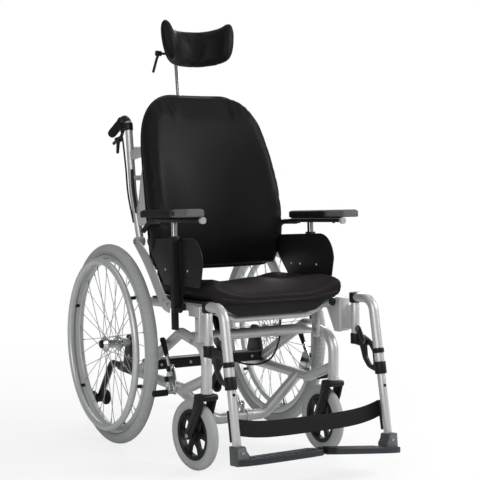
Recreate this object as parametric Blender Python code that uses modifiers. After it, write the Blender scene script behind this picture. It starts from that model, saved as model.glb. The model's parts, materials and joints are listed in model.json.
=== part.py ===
"""Positioning wheelchair: tilt-in-space seat unit on a self-propelled chassis.

Metres, +Z up. The chair faces -Y and its left side is +X. Everything is laid out from
the rear axle line and then moved so that the origin lies under the middle of its box.
"""
import math

import bmesh
import bpy
from mathutils import Matrix, Vector

# General clearances
SEAT_GAP = 0.0004
RUN_GAP = 0.0006
WELD = 0.000002

# Rear wheels
WHEEL_RADIUS = 0.305
WHEEL_OFFSET = 0.285
TYRE_SECTION = 0.0175
TYRE_SEAT = 0.015
RIM_DEPTH = 0.021
RIM_HALF_WIDTH = 0.0115
SPOKE_COUNT = 28
WHEEL_STEPS = 28
SPOKE_RADIUS = 0.0012
SPOKE_CROSS = math.radians(60)
SPOKE_SINK = 0.0025
SPOKE_STAGGER = 0.0015
NIPPLE_STAGGER = 0.0035
HUB_RADIUS = 0.0165
HUB_STEPS = 10
HUB_FLANGE_RADIUS = 0.024
HUB_FLANGE_HALF = 0.003
HUB_FLANGE_OFFSET = 0.021
HUB_INNER_END = 0.0315
HUB_OUTER_END = 0.0335
AXLE_RADIUS = 0.006
AXLE_CAP_RADIUS = 0.0125
AXLE_CAP_LENGTH = 0.006
AXLE_END_PROUD = 0.0015
HANDRIM_INSET = 0.051
HANDRIM_RADIUS = WHEEL_RADIUS - HANDRIM_INSET
HANDRIM_TUBE = 0.010
HANDRIM_OFFSET = 0.0355
HANDRIM_STANDOFFS = 6
STANDOFF_RADIUS = 0.0055

# Chassis
FRAME_OFFSET = 0.210
FRAME_TUBE = 0.015
POST_Y = -0.476
POST_BOTTOM = 0.2235
SHOULDER_HEIGHT = 0.352
APEX_Y = -0.322
APEX_HEIGHT = 0.374
LEG_FOOT_Y = -0.030
RAIL_HEIGHT = 0.214
RAIL_REAR = 0.085
RAIL_DIP_Y = -0.345
RAIL_FRONT_HEIGHT = 0.264
AXLE_PLATE_THICKNESS = 0.012
AXLE_PLATE_STAND = 0.004
AXLE_BOSS_RADIUS = 0.013
CROSS_TUBE = 0.0155
CROSS_TUBE_Y = -0.376
LOW_TUBE = 0.016
LOW_TUBE_Y = -0.290
LOW_TUBE_HEIGHT = 0.103
LOW_TUBE_HALF_FLAT = 0.085
BEAM_Y = -0.068
BEAM_HEIGHT = 0.242
BEAM_DEPTH = 0.040
BEAM_THICKNESS = 0.032

# Casters
CASTER_RADIUS = 0.100
CASTER_WIDTH = 0.032
CASTER_TRAIL = 0.056
CASTER_TYRE_DEPTH = 0.030
CASTER_HOLES = 6
CASTER_HOLE_RADIUS = 0.0145
CASTER_HOLE_CIRCLE = 0.043
CASTER_STEPS = 16
FORK_LEG_THICKNESS = 0.007
FORK_WHEEL_GAP = 0.003
FORK_CROWN = 0.016
FORK_CORNER_STEP = math.radians(30)
STEM_RADIUS = 0.008
STEM_LENGTH = 0.048
CASTER_BOLT_RADIUS = 0.004
CASTER_TURN = {"right": math.radians(8), "left": 0.0}

# Anti-tippers
TIPPER_TUBE = 0.010
TIPPER_ELBOW_Y = 0.175
TIPPER_END_Y = 0.280
TIPPER_END_HEIGHT = 0.080
TIPPER_WHEEL_RADIUS = 0.025
TIPPER_WHEEL_WIDTH = 0.017
TIPPER_WHEEL_SPREAD = 0.0225

# Parking brakes
BRAKE_OFFSET = 0.2290
BRAKE_PLATE = 0.005
BRAKE_PIVOT_Y = -0.300
BRAKE_PIVOT_HEIGHT = 0.268
BRAKE_LEVER_LENGTH = 0.098
BRAKE_LEVER_LEAN = math.radians(32)
BRAKE_GRIP_RADIUS = 0.0085
SHOE_PIVOT_Y = -0.286
SHOE_PIVOT_HEIGHT = 0.236
SHOE_Y = -0.322
SHOE_HEIGHT = 0.204
SHOE_RADIUS = 0.008

# Seat unit, in its own axes from the tilt pivot: back along the seat, up from it
TILT_PIVOT_Y = -0.415
SEAT_ANGLE = math.radians(2.5)
PIN_RADIUS = 0.008
SEAT_RAIL_OFFSET = 0.195
SEAT_RAIL_TUBE = 0.0125
SEAT_RAIL_FRONT = -0.078
SEAT_RAIL_REAR = 0.400
SEAT_RAIL_LIFT = 0.092
LUG_THICKNESS = 0.010
LUG_RADIUS = 0.0165
DROP_TUBE = 0.010
DROP_TUBE_BACK = -0.055
DROP_TUBE_LIFT = 0.060
DROP_TUBE_HALF_FLAT = 0.120
MID_BAR_BACK = 0.300
MID_BAR_DROP = 0.003
MID_BAR_RADIUS = 0.008
PAN_HALF_WIDTH = 0.180
PAN_FRONT = -0.086
PAN_REAR = 0.300
PAN_THICKNESS = 0.006
PAN_LIP = 0.030
CUSHION_HALF_WIDTH = 0.208
CUSHION_FRONT = -0.122
CUSHION_REAR = 0.290
CUSHION_THICKNESS = 0.045
CUSHION_FLARE = 0.030

# Side panels and armrests
PANEL_OFFSET = 0.2160
PANEL_THICKNESS = 0.004
PANEL_FRONT = -0.060
PANEL_FRONT_LOW = -0.044
PANEL_FRONT_LIFT = 0.215
PANEL_CORNER = 0.072
PANEL_REAR = 0.290
PANEL_REAR_LOW = 0.178
PANEL_REAR_MID = (0.231, 0.206)
PANEL_BOTTOM = 0.150
PANEL_TOP = 0.289
SLEEVE_OFFSET = 0.2295
SLEEVE_BACK = 0.082
SLEEVE_HALF = 0.0110
SLEEVE_BOTTOM = 0.030
SLEEVE_TOP = 0.293
SLEEVE_NOTCH_TOP = 0.076
TUBE_CLEARANCE = 0.0018
POST_HALF = 0.0070
POST_DEPTH = 0.180
ARM_PAD_LIFT = 0.336
ARM_PAD_OFFSET = 0.254
ARM_PAD_FRONT = -0.098
ARM_PAD_REAR = 0.200
ARM_PAD_WIDTH = 0.055
ARM_PAD_THICKNESS = 0.022
ARM_RAIL_HEIGHT = 0.003
ARM_BAR_THICKNESS = 0.011
ARM_BAR_HALF = 0.011
ARM_BAR_FRONT = -0.086
ARM_BAR_REAR = 0.190
ARM_BEND = (0.240, 0.324)
ARM_END = (0.288, 0.296)
ARM_TUBE = 0.008
ARM_KNOB_RADIUS = 0.0095
ARM_KNOB_LENGTH = 0.010
ARM_RAISE = {"right": 0.011, "left": 0.0}

# Backrest, in its own axes from the recline pivot
RECLINE_BACK = 0.3834
RECLINE_LIFT = 0.2731
BACK_ANGLE = math.radians(6)
CANE_OFFSET = 0.1965
CANE_TUBE = 0.0115
CANE_SET_BACK = 0.030
CANE_BEND_LIFT = 0.160
HANDLE_LIFT = 0.400
HANDLE_BACK = 0.165
HANDLE_DROP = math.radians(16)
GRIP_RADIUS = 0.0145
GRIP_LENGTH = 0.095
BACK_PLATE_THICKNESS = 0.005
BACK_PLATE_OFFSET = 0.2120
HINGE_RADIUS = 0.015
HINGE_PIN_RADIUS = 0.007
LOW_BAR_LIFT = 0.120
SHELL_BLOCK_LIFTS = (0.070, 0.270)
HIGH_BAR_LIFT = 0.290
BACK_HALF_WIDTH = 0.211
BACK_CUSHION_SPREAD = 1.035
BACK_TOP = 0.450
BACK_BOTTOM = -0.095
BACK_SURFACE = -0.055
BACK_CUSHION_EDGE = 0.012
BACK_CROWN = 0.043
BACK_WING_HEIGHT = 0.320
BACK_WING_SPAN = 0.220
REAR_WING = (0.010, 0.026)
FRONT_WING = (0.018, 0.104)
SHELL_THICKNESS = 0.005

# Headrest
STEM_BACK = 0.0575
STEM_HALF = 0.006
STEM_TOP = 0.600
STEM_BOTTOM = 0.180
HEAD_ARM_FRONT = 0.010
HEAD_PAD_HALF_WIDTH = 0.140
HEAD_PAD_DEPTH = 0.112
HEAD_PAD_THICKNESS = 0.040
HEAD_PAD_HEIGHT = 0.125
HEAD_PAD_LIFT = 0.600
HEAD_WING_RISE = 0.022

# Gas springs
SPRING_BODY = 0.011
SPRING_ROD = 0.005
TILT_SPRING_FOOT = (-0.290, 0.138)
TILT_SPRING_HEAD = (-0.118, 0.413)
TILT_SPRING_ROD_SHARE = 0.45
TILT_ROD_ENGAGED = 0.060
RECLINE_SPRING_OFFSET = -0.110
RECLINE_FOOT = (0.418, 0.085)
RECLINE_HEAD = (0.045, 0.200)
RECLINE_ROD_SHARE = 0.35
RECLINE_ROD_ENGAGED = 0.110
EAR_STEP = math.radians(60)

# Legrests, in their own axes from the swing pivot
SWING_OFFSET = 0.240
SWING_BACK = -0.1295
SWING_POST_RADIUS = 0.012
SWING_POST_BOTTOM = 0.002
SWING_POST_TOP = 0.090
HANGER_FRONT = -0.088
SWING_PIN_RADIUS = 0.006
SWING_PIN_LENGTH = 0.030
LEG_TUBE = 0.0135
LEG_CAP_RADIUS = 0.0165
LEG_CAP_HEIGHT = 0.030
LEG_KNEE_FRONT = -0.085
LEG_KNEE_LIFT = 0.106
SHIN_ANGLE = math.radians(9.3)
COLLAR_RADIUS = 0.0165
COLLAR_LENGTH = 0.076
COLLAR_DISTANCE = 0.139
FOOT_TUBE = 0.0115
FOOT_TUBE_LENGTH = 0.253
FOOT_TUBE_END = {"right": 0.357, "left": 0.377}
FOOT_SLIDE = 0.045
FOOTPLATE_PITCH = math.radians(4)
FOOT_BLOCK_OUTER = -0.015
FOOT_BLOCK_TOP_INNER = 0.013
FOOT_BLOCK_INNER = 0.025
FOOT_BLOCK_FRONT = -0.0235
FOOT_BLOCK_REAR = 0.0165
FOOT_BLOCK_BOTTOM = -0.048
FOOTPLATE_HINGE = 0.035
FOOTPLATE_HINGE_DROP = -0.038
FOOTPLATE_HINGE_PIN = 0.0035
FOOTPLATE_KNUCKLE = (-0.0140, 0.0070)
FOOTPLATE_THICKNESS = 0.016
FOOTPLATE_RAISE = {"right": 0.0, "left": math.radians(6)}
FOOTPLATE_OUTLINE = [(0.0423, 0.007), (0.0423, 0.015), (0.2220, 0.015), (0.2360, 0.003),
                     (0.2360, -0.046), (0.2000, -0.050), (0.1000, -0.051), (0.0400, -0.049),
                     (0.0050, -0.044), (-0.0120, -0.037), (-0.0140, -0.030), (-0.0100, -0.0255),
                     (0.0423, -0.0255), (0.0423, -0.014), (0.0350, -0.014), (0.0350, 0.007)]
CATCH_LENGTH = 0.028
CATCH_BACK = (-0.052, -0.020)
STRAP_PLATE_LENGTH = 0.082
STRAP_PLATE_DEPTH = 0.006
STRAP_LIFT = 0.0605
STRAP_HEIGHT = 0.044
STRAP_THICKNESS = 0.004
STRAP_SAG = 0.020

# Release cables
CABLE_RADIUS = 0.0028

FULL_TURN = 2 * math.pi
SIDES = {"right": -1, "left": 1}

FRONT_REACH = -0.7585
REAR_REACH = WHEEL_RADIUS
CENTRE_Y = (FRONT_REACH + REAR_REACH) / 2

MATERIALS = {
    "silver": ((0.62, 0.63, 0.64), 0.38, 0.75),
    "grey_rubber": ((0.30, 0.31, 0.31), 0.75, 0.0),
    "rim_grey": ((0.55, 0.57, 0.57), 0.40, 0.6),
    "chrome": ((0.75, 0.77, 0.77), 0.15, 1.0),
    "black_plastic": ((0.02, 0.02, 0.022), 0.50, 0.0),
    "dark_plastic": ((0.09, 0.10, 0.105), 0.45, 0.0),
    "black_fabric": ((0.018, 0.016, 0.019), 0.90, 0.0),
    "black_web": ((0.02, 0.02, 0.022), 0.85, 0.0),
}


def clear_scene():
    for item in list(bpy.data.objects):
        bpy.data.objects.remove(item, do_unlink=True)


def material(name):
    found = bpy.data.materials.get(name)
    if found:
        return found
    colour, roughness, metallic = MATERIALS[name]
    made = bpy.data.materials.new(name)
    made.use_nodes = True
    shader = made.node_tree.nodes["Principled BSDF"]
    shader.inputs["Base Color"].default_value = (*colour, 1)
    shader.inputs["Roughness"].default_value = roughness
    shader.inputs["Metallic"].default_value = metallic
    made.diffuse_color = (*colour, 1)
    return made


def new_object(name, mesh):
    item = bpy.data.objects.new(name, mesh)
    WORK.objects.link(item)
    return item


def settle(item):
    """Replace an object by the mesh that its modifiers or curve give, welded and outward."""
    graph = bpy.context.evaluated_depsgraph_get()
    mesh = bpy.data.meshes.new_from_object(item.evaluated_get(graph))
    mesh.transform(item.matrix_world)
    shape = bmesh.new()
    shape.from_mesh(mesh)
    bmesh.ops.remove_doubles(shape, verts=shape.verts, dist=WELD)
    bmesh.ops.recalc_face_normals(shape, faces=shape.faces)
    shape.to_mesh(mesh)
    shape.free()
    name = item.name
    bpy.data.objects.remove(item, do_unlink=True)
    return new_object(name, mesh)


def from_bmesh(shape, name="piece"):
    mesh = bpy.data.meshes.new(name)
    bmesh.ops.recalc_face_normals(shape, faces=shape.faces)
    shape.to_mesh(mesh)
    shape.free()
    return new_object(name, mesh)


def box(corner, other, bevel=0.0):
    """A block between two opposite corners, with edges broken by a bevel."""
    corner = Vector(corner)
    other = Vector(other)
    size = [abs(value) for value in other - corner]
    shape = bmesh.new()
    bmesh.ops.create_cube(shape, size=1)
    bmesh.ops.scale(shape, verts=shape.verts, vec=size)
    if bevel:
        bmesh.ops.bevel(shape, geom=shape.edges[:], offset=bevel, offset_type="OFFSET",
                        segments=1, profile=0.5, affect="EDGES", material=-1)
    bmesh.ops.translate(shape, verts=shape.verts, vec=(corner + other) / 2)
    return from_bmesh(shape)


def prism(outline, shift):
    """A flat outline of points, drawn out along a vector."""
    shape = bmesh.new()
    face = shape.faces.new([shape.verts.new(point) for point in outline])
    solid = bmesh.ops.extrude_face_region(shape, geom=[face])
    raised = [item for item in solid["geom"] if isinstance(item, bmesh.types.BMVert)]
    bmesh.ops.translate(shape, verts=raised, vec=shift)
    return from_bmesh(shape)


def rod(start, end, radius, sides=12, end_radius=None):
    """A round bar between two points."""
    start = Vector(start)
    end = Vector(end)
    shape = bmesh.new()
    bmesh.ops.create_cone(shape, cap_ends=True, segments=sides, radius1=radius,
                          radius2=radius if end_radius is None else end_radius,
                          depth=(end - start).length)
    turn = (end - start).to_track_quat("Z", "Y").to_matrix()
    bmesh.ops.rotate(shape, verts=shape.verts, cent=(0, 0, 0), matrix=turn)
    bmesh.ops.translate(shape, verts=shape.verts, vec=(start + end) / 2)
    return from_bmesh(shape)


def rounded_path(corners, step=math.radians(30)):
    """Points along a bent tube: each corner is a place and the radius of its bend."""
    places = [Vector(corner[0]) for corner in corners]
    path = [places[0]]
    for index in range(1, len(places) - 1):
        before = (places[index - 1] - places[index]).normalized()
        after = (places[index + 1] - places[index]).normalized()
        bend = math.pi - before.angle(after)
        radius = corners[index][1]
        if radius <= 0 or bend < 0.02:
            path.append(places[index])
            continue
        room = min((places[index - 1] - places[index]).length,
                   (places[index + 1] - places[index]).length)
        reach = min(radius * math.tan(bend / 2), 0.96 * room)
        radius = reach / math.tan(bend / 2)
        middle = (before + after).normalized()
        centre = places[index] + middle * (radius / math.cos(bend / 2))
        first = places[index] + before * reach - centre
        count = max(2, math.ceil(bend / step))
        axis = first.cross(places[index] + after * reach - centre).normalized()
        for number in range(count + 1):
            path.append(centre + Matrix.Rotation(bend * number / count, 3, axis) @ first)
    path.append(places[-1])
    return path


def tube(path, radius, sides=8):
    """A round tube with closed ends along a list of points."""
    curve = bpy.data.curves.new("tube", "CURVE")
    curve.dimensions = "3D"
    curve.bevel_depth = radius
    curve.bevel_resolution = (sides - 4) // 2
    curve.use_fill_caps = True
    spline = curve.splines.new("POLY")
    spline.points.add(len(path) - 1)
    for point, place in zip(spline.points, path):
        point.co = (*place, 1)
    return settle(new_object("tube", curve))


def smooth_path(knots, count):
    """Points along a smooth curve through chosen knots."""
    knots = [Vector(knot) for knot in knots]
    padded = [2 * knots[0] - knots[1], *knots, 2 * knots[-1] - knots[-2]]
    path = []
    spans = len(knots) - 1
    for number in range(count + 1):
        place = min(number / count * spans, spans - 1e-9)
        index = int(place)
        t = place - index
        a, b, c, d = padded[index:index + 4]
        path.append(0.5 * ((2 * b) + (c - a) * t + (2 * a - 5 * b + 4 * c - d) * t * t
                           + (3 * b - a - 3 * c + d) * t ** 3))
    return path


def plate(outline, centre_x, thickness):
    """A flat plate across X from an outline of (y, z) points."""
    curve = bpy.data.curves.new("plate", "CURVE")
    curve.dimensions = "2D"
    curve.fill_mode = "BOTH"
    curve.extrude = thickness / 2
    spline = curve.splines.new("POLY")
    spline.points.add(len(outline) - 1)
    for point, (y, z) in zip(spline.points, outline):
        point.co = (y, z, 0, 1)
    spline.use_cyclic_u = True
    item = new_object("plate", curve)
    item.matrix_world = Matrix(((0, 0, 1, centre_x), (1, 0, 0, 0), (0, 1, 0, 0), (0, 0, 0, 1)))
    bpy.context.view_layer.update()
    return settle(item)


def rounded_outline(corners, step=math.radians(38)):
    """A closed outline of (y, z) points with rounded corners given as (y, z, radius)."""
    count = len(corners)
    outline = []
    for index in range(count):
        before = Vector((*corners[index - 1][:2], 0))
        here = Vector((*corners[index][:2], 0))
        after = Vector((*corners[(index + 1) % count][:2], 0))
        radius = corners[index][2]
        start = here + (before - here) * 0.5
        end = here + (after - here) * 0.5
        arc = rounded_path([(start, 0), (here, radius), (end, 0)], step)
        outline.extend((place.x, place.y) for place in arc[1:-1])
    return outline


def turned(profile, axis="X", steps=24, centre=(0, 0, 0)):
    """A turned shape from a closed loop of (radius, distance along the axis) points."""
    shape = bmesh.new()
    verts = [shape.verts.new((radius, 0, along)) for radius, along in profile]
    for index, vert in enumerate(verts):
        shape.edges.new((vert, verts[(index + 1) % len(verts)]))
    mesh = bpy.data.meshes.new("turned")
    shape.to_mesh(mesh)
    shape.free()
    item = new_object("turned", mesh)
    screw = item.modifiers.new("turn", "SCREW")
    screw.steps = steps
    screw.render_steps = steps
    screw.use_merge_vertices = True
    screw.merge_threshold = 0.00005
    turn = Matrix.Rotation(math.pi / 2, 4, "Y") if axis == "X" else Matrix.Identity(4)
    item.matrix_world = Matrix.Translation(centre) @ turn
    bpy.context.view_layer.update()
    return settle(item)


def ring(centre, radius, section, steps=40, sides=8, axis="X"):
    turn = (0, math.pi / 2, 0) if axis == "X" else (0, 0, 0)
    bpy.ops.mesh.primitive_torus_add(major_segments=steps, minor_segments=sides,
                                     major_radius=radius, minor_radius=section,
                                     location=centre, rotation=turn)
    made = bpy.context.object
    item = new_object("ring", made.data)
    item.matrix_world = made.matrix_world.copy()
    bpy.data.objects.remove(made, do_unlink=True)
    bpy.context.view_layer.update()
    return settle(item)


def combine(operation, item, others, crossing=False):
    for other in others:
        change = item.modifiers.new("join", "BOOLEAN")
        change.operation = operation
        change.solver = "EXACT"
        change.use_self = crossing
        change.object = other
    bpy.context.view_layer.update()
    made = settle(item)
    for other in others:
        bpy.data.objects.remove(other, do_unlink=True)
    return made


def fuse(item, *others, crossing=False):
    return combine("UNION", item, others, crossing)


def cut(item, *others):
    return combine("DIFFERENCE", item, others)


def merged(items):
    """Several separate solids in one mesh, for use as one tool."""
    shape = bmesh.new()
    for item in items:
        shape.from_mesh(item.data)
        bpy.data.objects.remove(item, do_unlink=True)
    return from_bmesh(shape)


def axis_empty(name, place, parent=None, turn=(0, 0, 0)):
    item = bpy.data.objects.new(name, None)
    item.empty_display_size = 0.03
    ASSEMBLY.objects.link(item)
    item.location = place
    item.rotation_euler = turn
    item.parent = parent
    return item


def place(item, name, parent, finish, smooth=math.radians(35)):
    """Name a finished solid, give it its finish and hang it on its unit."""
    WORK.objects.unlink(item)
    ASSEMBLY.objects.link(item)
    item.name = name
    item.data.name = name
    item.data.materials.clear()
    item.data.materials.append(material(finish))
    item.data.shade_smooth()
    item.data.set_sharp_from_angle(angle=smooth)
    item.parent = parent
    return item


def hole_radius(pin_radius, gap, sides):
    """A faceted hole that clears a round pin all the way round."""
    return (pin_radius + gap) / math.cos(math.pi / sides)


def tilt_pivot_height():
    """The tilt pin sits on the line of the upper tube."""
    share = (TILT_PIVOT_Y - POST_Y) / (APEX_Y - POST_Y)
    return SHOULDER_HEIGHT + share * (APEX_HEIGHT - SHOULDER_HEIGHT)


def upper_tube_path(x):
    return rounded_path([((x, POST_Y, POST_BOTTOM), 0),
                         ((x, POST_Y, SHOULDER_HEIGHT), 0.058),
                         ((x, APEX_Y, APEX_HEIGHT), 0.024),
                         ((x, LEG_FOOT_Y, RAIL_HEIGHT), 0)])


def rail_path(x):
    return rounded_path([((x, RAIL_REAR, RAIL_HEIGHT), 0),
                         ((x, RAIL_DIP_Y, RAIL_HEIGHT), 0.030),
                         ((x, POST_Y, RAIL_FRONT_HEIGHT), 0)])


def make_side_frame(side, chair):
    sign = SIDES[side]
    x = sign * FRAME_OFFSET
    outer = x + sign * (FRAME_TUBE + AXLE_PLATE_STAND)
    upper = tube(upper_tube_path(x), FRAME_TUBE)
    rail = tube(rail_path(x), FRAME_TUBE)
    lug_x = outer - sign * AXLE_PLATE_THICKNESS / 2
    lug = plate(rounded_outline([(-0.062, RAIL_HEIGHT - 0.010, 0.008),
                                 (0.062, RAIL_HEIGHT - 0.010, 0.008),
                                 (0.022, WHEEL_RADIUS + 0.024, 0.018),
                                 (-0.022, WHEEL_RADIUS + 0.024, 0.018)]),
                lug_x, AXLE_PLATE_THICKNESS)
    boss_end = sign * (WHEEL_OFFSET - HUB_INNER_END - 0.001)
    boss = rod((x + sign * 0.010, 0, WHEEL_RADIUS), (boss_end, 0, WHEEL_RADIUS), AXLE_BOSS_RADIUS, 10)
    pin_height = tilt_pivot_height()
    pin = rod((x, TILT_PIVOT_Y, pin_height),
              (sign * (FRAME_OFFSET - FRAME_TUBE - LUG_THICKNESS - 0.004), TILT_PIVOT_Y,
               pin_height), PIN_RADIUS, 10)
    frame = fuse(upper, rail, lug, boss, pin)
    axle_hole = rod((x - sign * 0.03, 0, WHEEL_RADIUS), (x + sign * 0.06, 0, WHEEL_RADIUS),
                    hole_radius(AXLE_RADIUS, SEAT_GAP, 12))
    stem_hole = rod((x, POST_Y, POST_BOTTOM - 0.01), (x, POST_Y, POST_BOTTOM + STEM_LENGTH + 0.004),
                    hole_radius(STEM_RADIUS, RUN_GAP, 10), 10)
    frame = cut(frame, axle_hole, stem_hole)
    return place(frame, f"side_frame_{side}", chair, "silver")


def frame_tube_tools(paths):
    """Enlarged side tubes that notch the ends of the cross members."""
    tools = []
    for sign in (-1, 1):
        for path in paths:
            tools.append(tube(path(sign * FRAME_OFFSET), FRAME_TUBE + SEAT_GAP))
    return tools


def make_cross_members(chair):
    reach = FRAME_OFFSET - 0.003
    height = (SHOULDER_HEIGHT + (CROSS_TUBE_Y - POST_Y) / (APEX_Y - POST_Y)
              * (APEX_HEIGHT - SHOULDER_HEIGHT))
    front = tube([Vector((-reach, CROSS_TUBE_Y, height)), Vector((reach, CROSS_TUBE_Y, height))],
                 CROSS_TUBE)
    front = cut(front, *frame_tube_tools([upper_tube_path]))
    place(front, "front_cross_tube", chair, "silver")

    low = tube(rounded_path([((-reach, LOW_TUBE_Y, RAIL_HEIGHT), 0),
                             ((-LOW_TUBE_HALF_FLAT, LOW_TUBE_Y, LOW_TUBE_HEIGHT), 0.050),
                             ((LOW_TUBE_HALF_FLAT, LOW_TUBE_Y, LOW_TUBE_HEIGHT), 0.050),
                             ((reach, LOW_TUBE_Y, RAIL_HEIGHT), 0)]), LOW_TUBE)
    sleeve = rod((0.018, LOW_TUBE_Y, LOW_TUBE_HEIGHT), (0.036, LOW_TUBE_Y, LOW_TUBE_HEIGHT),
                 LOW_TUBE + 0.004, 12)
    ear_outline = rounded_outline([(-0.012, -0.045, 0.002), (0.012, -0.045, 0.002),
                                   (0.010, 0.012, 0.009), (-0.010, 0.012, 0.009)], EAR_STEP)
    foot_y, foot_z = TILT_SPRING_FOOT
    ears = [plate([(foot_y + y, foot_z + z) for y, z in ear_outline], x, 0.004)
            for x in (-0.010, 0.010)]
    pin = rod((-0.011, foot_y, foot_z), (0.011, foot_y, foot_z), 0.004, 8)
    low = fuse(low, sleeve, *ears, pin)
    low = cut(low, *frame_tube_tools([rail_path]))
    place(low, "lower_cross_tube", chair, "silver")

    beam = box((-reach, BEAM_Y - BEAM_DEPTH / 2, BEAM_HEIGHT - BEAM_THICKNESS / 2),
               (reach, BEAM_Y + BEAM_DEPTH / 2, BEAM_HEIGHT + BEAM_THICKNESS / 2), bevel=0.003)
    beam = cut(beam, *frame_tube_tools([upper_tube_path, rail_path]))
    place(beam, "rear_cross_beam", chair, "black_plastic")


def make_rear_wheel(side, chair):
    sign = SIDES[side]
    centre = Vector((sign * WHEEL_OFFSET, 0, WHEEL_RADIUS))
    hub_unit = axis_empty(f"wheel_axis_{side}", centre, chair)

    tyre_ring = WHEEL_RADIUS - TYRE_SECTION
    rim_outer = tyre_ring - TYRE_SEAT
    flat = math.asin(TYRE_SEAT / TYRE_SECTION)
    arc = [-flat + step * (math.pi + 2 * flat) / 6 for step in range(7)]
    profile = [(tyre_ring + TYRE_SECTION * math.sin(a), TYRE_SECTION * math.cos(a)) for a in arc]
    tyre = turned(profile, steps=WHEEL_STEPS)
    place(tyre, f"rear_tyre_{side}", hub_unit, "grey_rubber")

    rim_top = rim_outer - SEAT_GAP
    rim_low = rim_outer - RIM_DEPTH
    rim = turned([(rim_top, RIM_HALF_WIDTH), (rim_top, -RIM_HALF_WIDTH),
                  (rim_top - 0.012, -RIM_HALF_WIDTH), (rim_low, -0.007),
                  (rim_low, 0.007), (rim_top - 0.012, RIM_HALF_WIDTH)], steps=WHEEL_STEPS)
    inner = -sign * HUB_INNER_END
    outer = sign * HUB_OUTER_END
    flange_out = sign * HUB_FLANGE_OFFSET
    half = sign * HUB_FLANGE_HALF
    bore = hole_radius(AXLE_RADIUS, RUN_GAP, HUB_STEPS)
    hub = turned([(bore, inner), (0.014, inner), (0.014, -flange_out - half),
                  (HUB_FLANGE_RADIUS, -flange_out - half), (HUB_FLANGE_RADIUS, -flange_out + half),
                  (HUB_RADIUS, -flange_out + half), (HUB_RADIUS, flange_out - half),
                  (HUB_FLANGE_RADIUS, flange_out - half), (HUB_FLANGE_RADIUS, flange_out + half),
                  (HUB_RADIUS, outer), (bore, outer)], steps=HUB_STEPS)
    spokes = []
    head_radius = HUB_FLANGE_RADIUS - SPOKE_SINK
    nipple_radius = rim_low + SPOKE_SINK
    for number in range(SPOKE_COUNT):
        flange = 1 if number % 2 else -1
        lean = 1 if (number // 2) % 2 else -1
        rim_angle = FULL_TURN * (number + 0.5) / SPOKE_COUNT
        hub_angle = rim_angle + lean * SPOKE_CROSS
        hub_x = flange * HUB_FLANGE_OFFSET + lean * SPOKE_STAGGER
        rim_x = flange * NIPPLE_STAGGER + lean * SPOKE_STAGGER
        start = Vector((hub_x, math.cos(hub_angle) * head_radius,
                        math.sin(hub_angle) * head_radius))
        end = Vector((rim_x, math.cos(rim_angle) * nipple_radius,
                      math.sin(rim_angle) * nipple_radius))
        spokes.append(rod(start, end, SPOKE_RADIUS, 3))
    wheel = fuse(rim, hub, merged(spokes), crossing=True)
    place(wheel, f"rear_wheel_{side}", hub_unit, "rim_grey")

    rail = ring((sign * HANDRIM_OFFSET, 0, 0), HANDRIM_RADIUS, HANDRIM_TUBE, WHEEL_STEPS, 6)
    studs = []
    for number in range(HANDRIM_STANDOFFS):
        angle = FULL_TURN * (number + 0.35) / HANDRIM_STANDOFFS
        y = math.cos(angle) * (HANDRIM_RADIUS + 0.002)
        z = math.sin(angle) * (HANDRIM_RADIUS + 0.002)
        studs.append(rod((sign * (RIM_HALF_WIDTH + SEAT_GAP), y, z),
                         (sign * HANDRIM_OFFSET, y, z), STANDOFF_RADIUS, 6))
    handrim = fuse(rail, merged(studs))
    place(handrim, f"handrim_{side}", hub_unit, "silver")

    plate_inside = FRAME_OFFSET + FRAME_TUBE + AXLE_PLATE_STAND - AXLE_PLATE_THICKNESS
    stub = sign * (plate_inside - AXLE_END_PROUD)
    head = sign * (WHEEL_OFFSET + HUB_OUTER_END + RUN_GAP)
    axle = rod((stub, 0, WHEEL_RADIUS), (head + sign * 0.002, 0, WHEEL_RADIUS), AXLE_RADIUS, 10)
    cap = rod((head, 0, WHEEL_RADIUS), (head + sign * AXLE_CAP_LENGTH, 0, WHEEL_RADIUS),
              AXLE_CAP_RADIUS, 10, AXLE_CAP_RADIUS - 0.002)
    place(fuse(axle, cap), f"axle_{side}", chair, "chrome")


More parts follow.
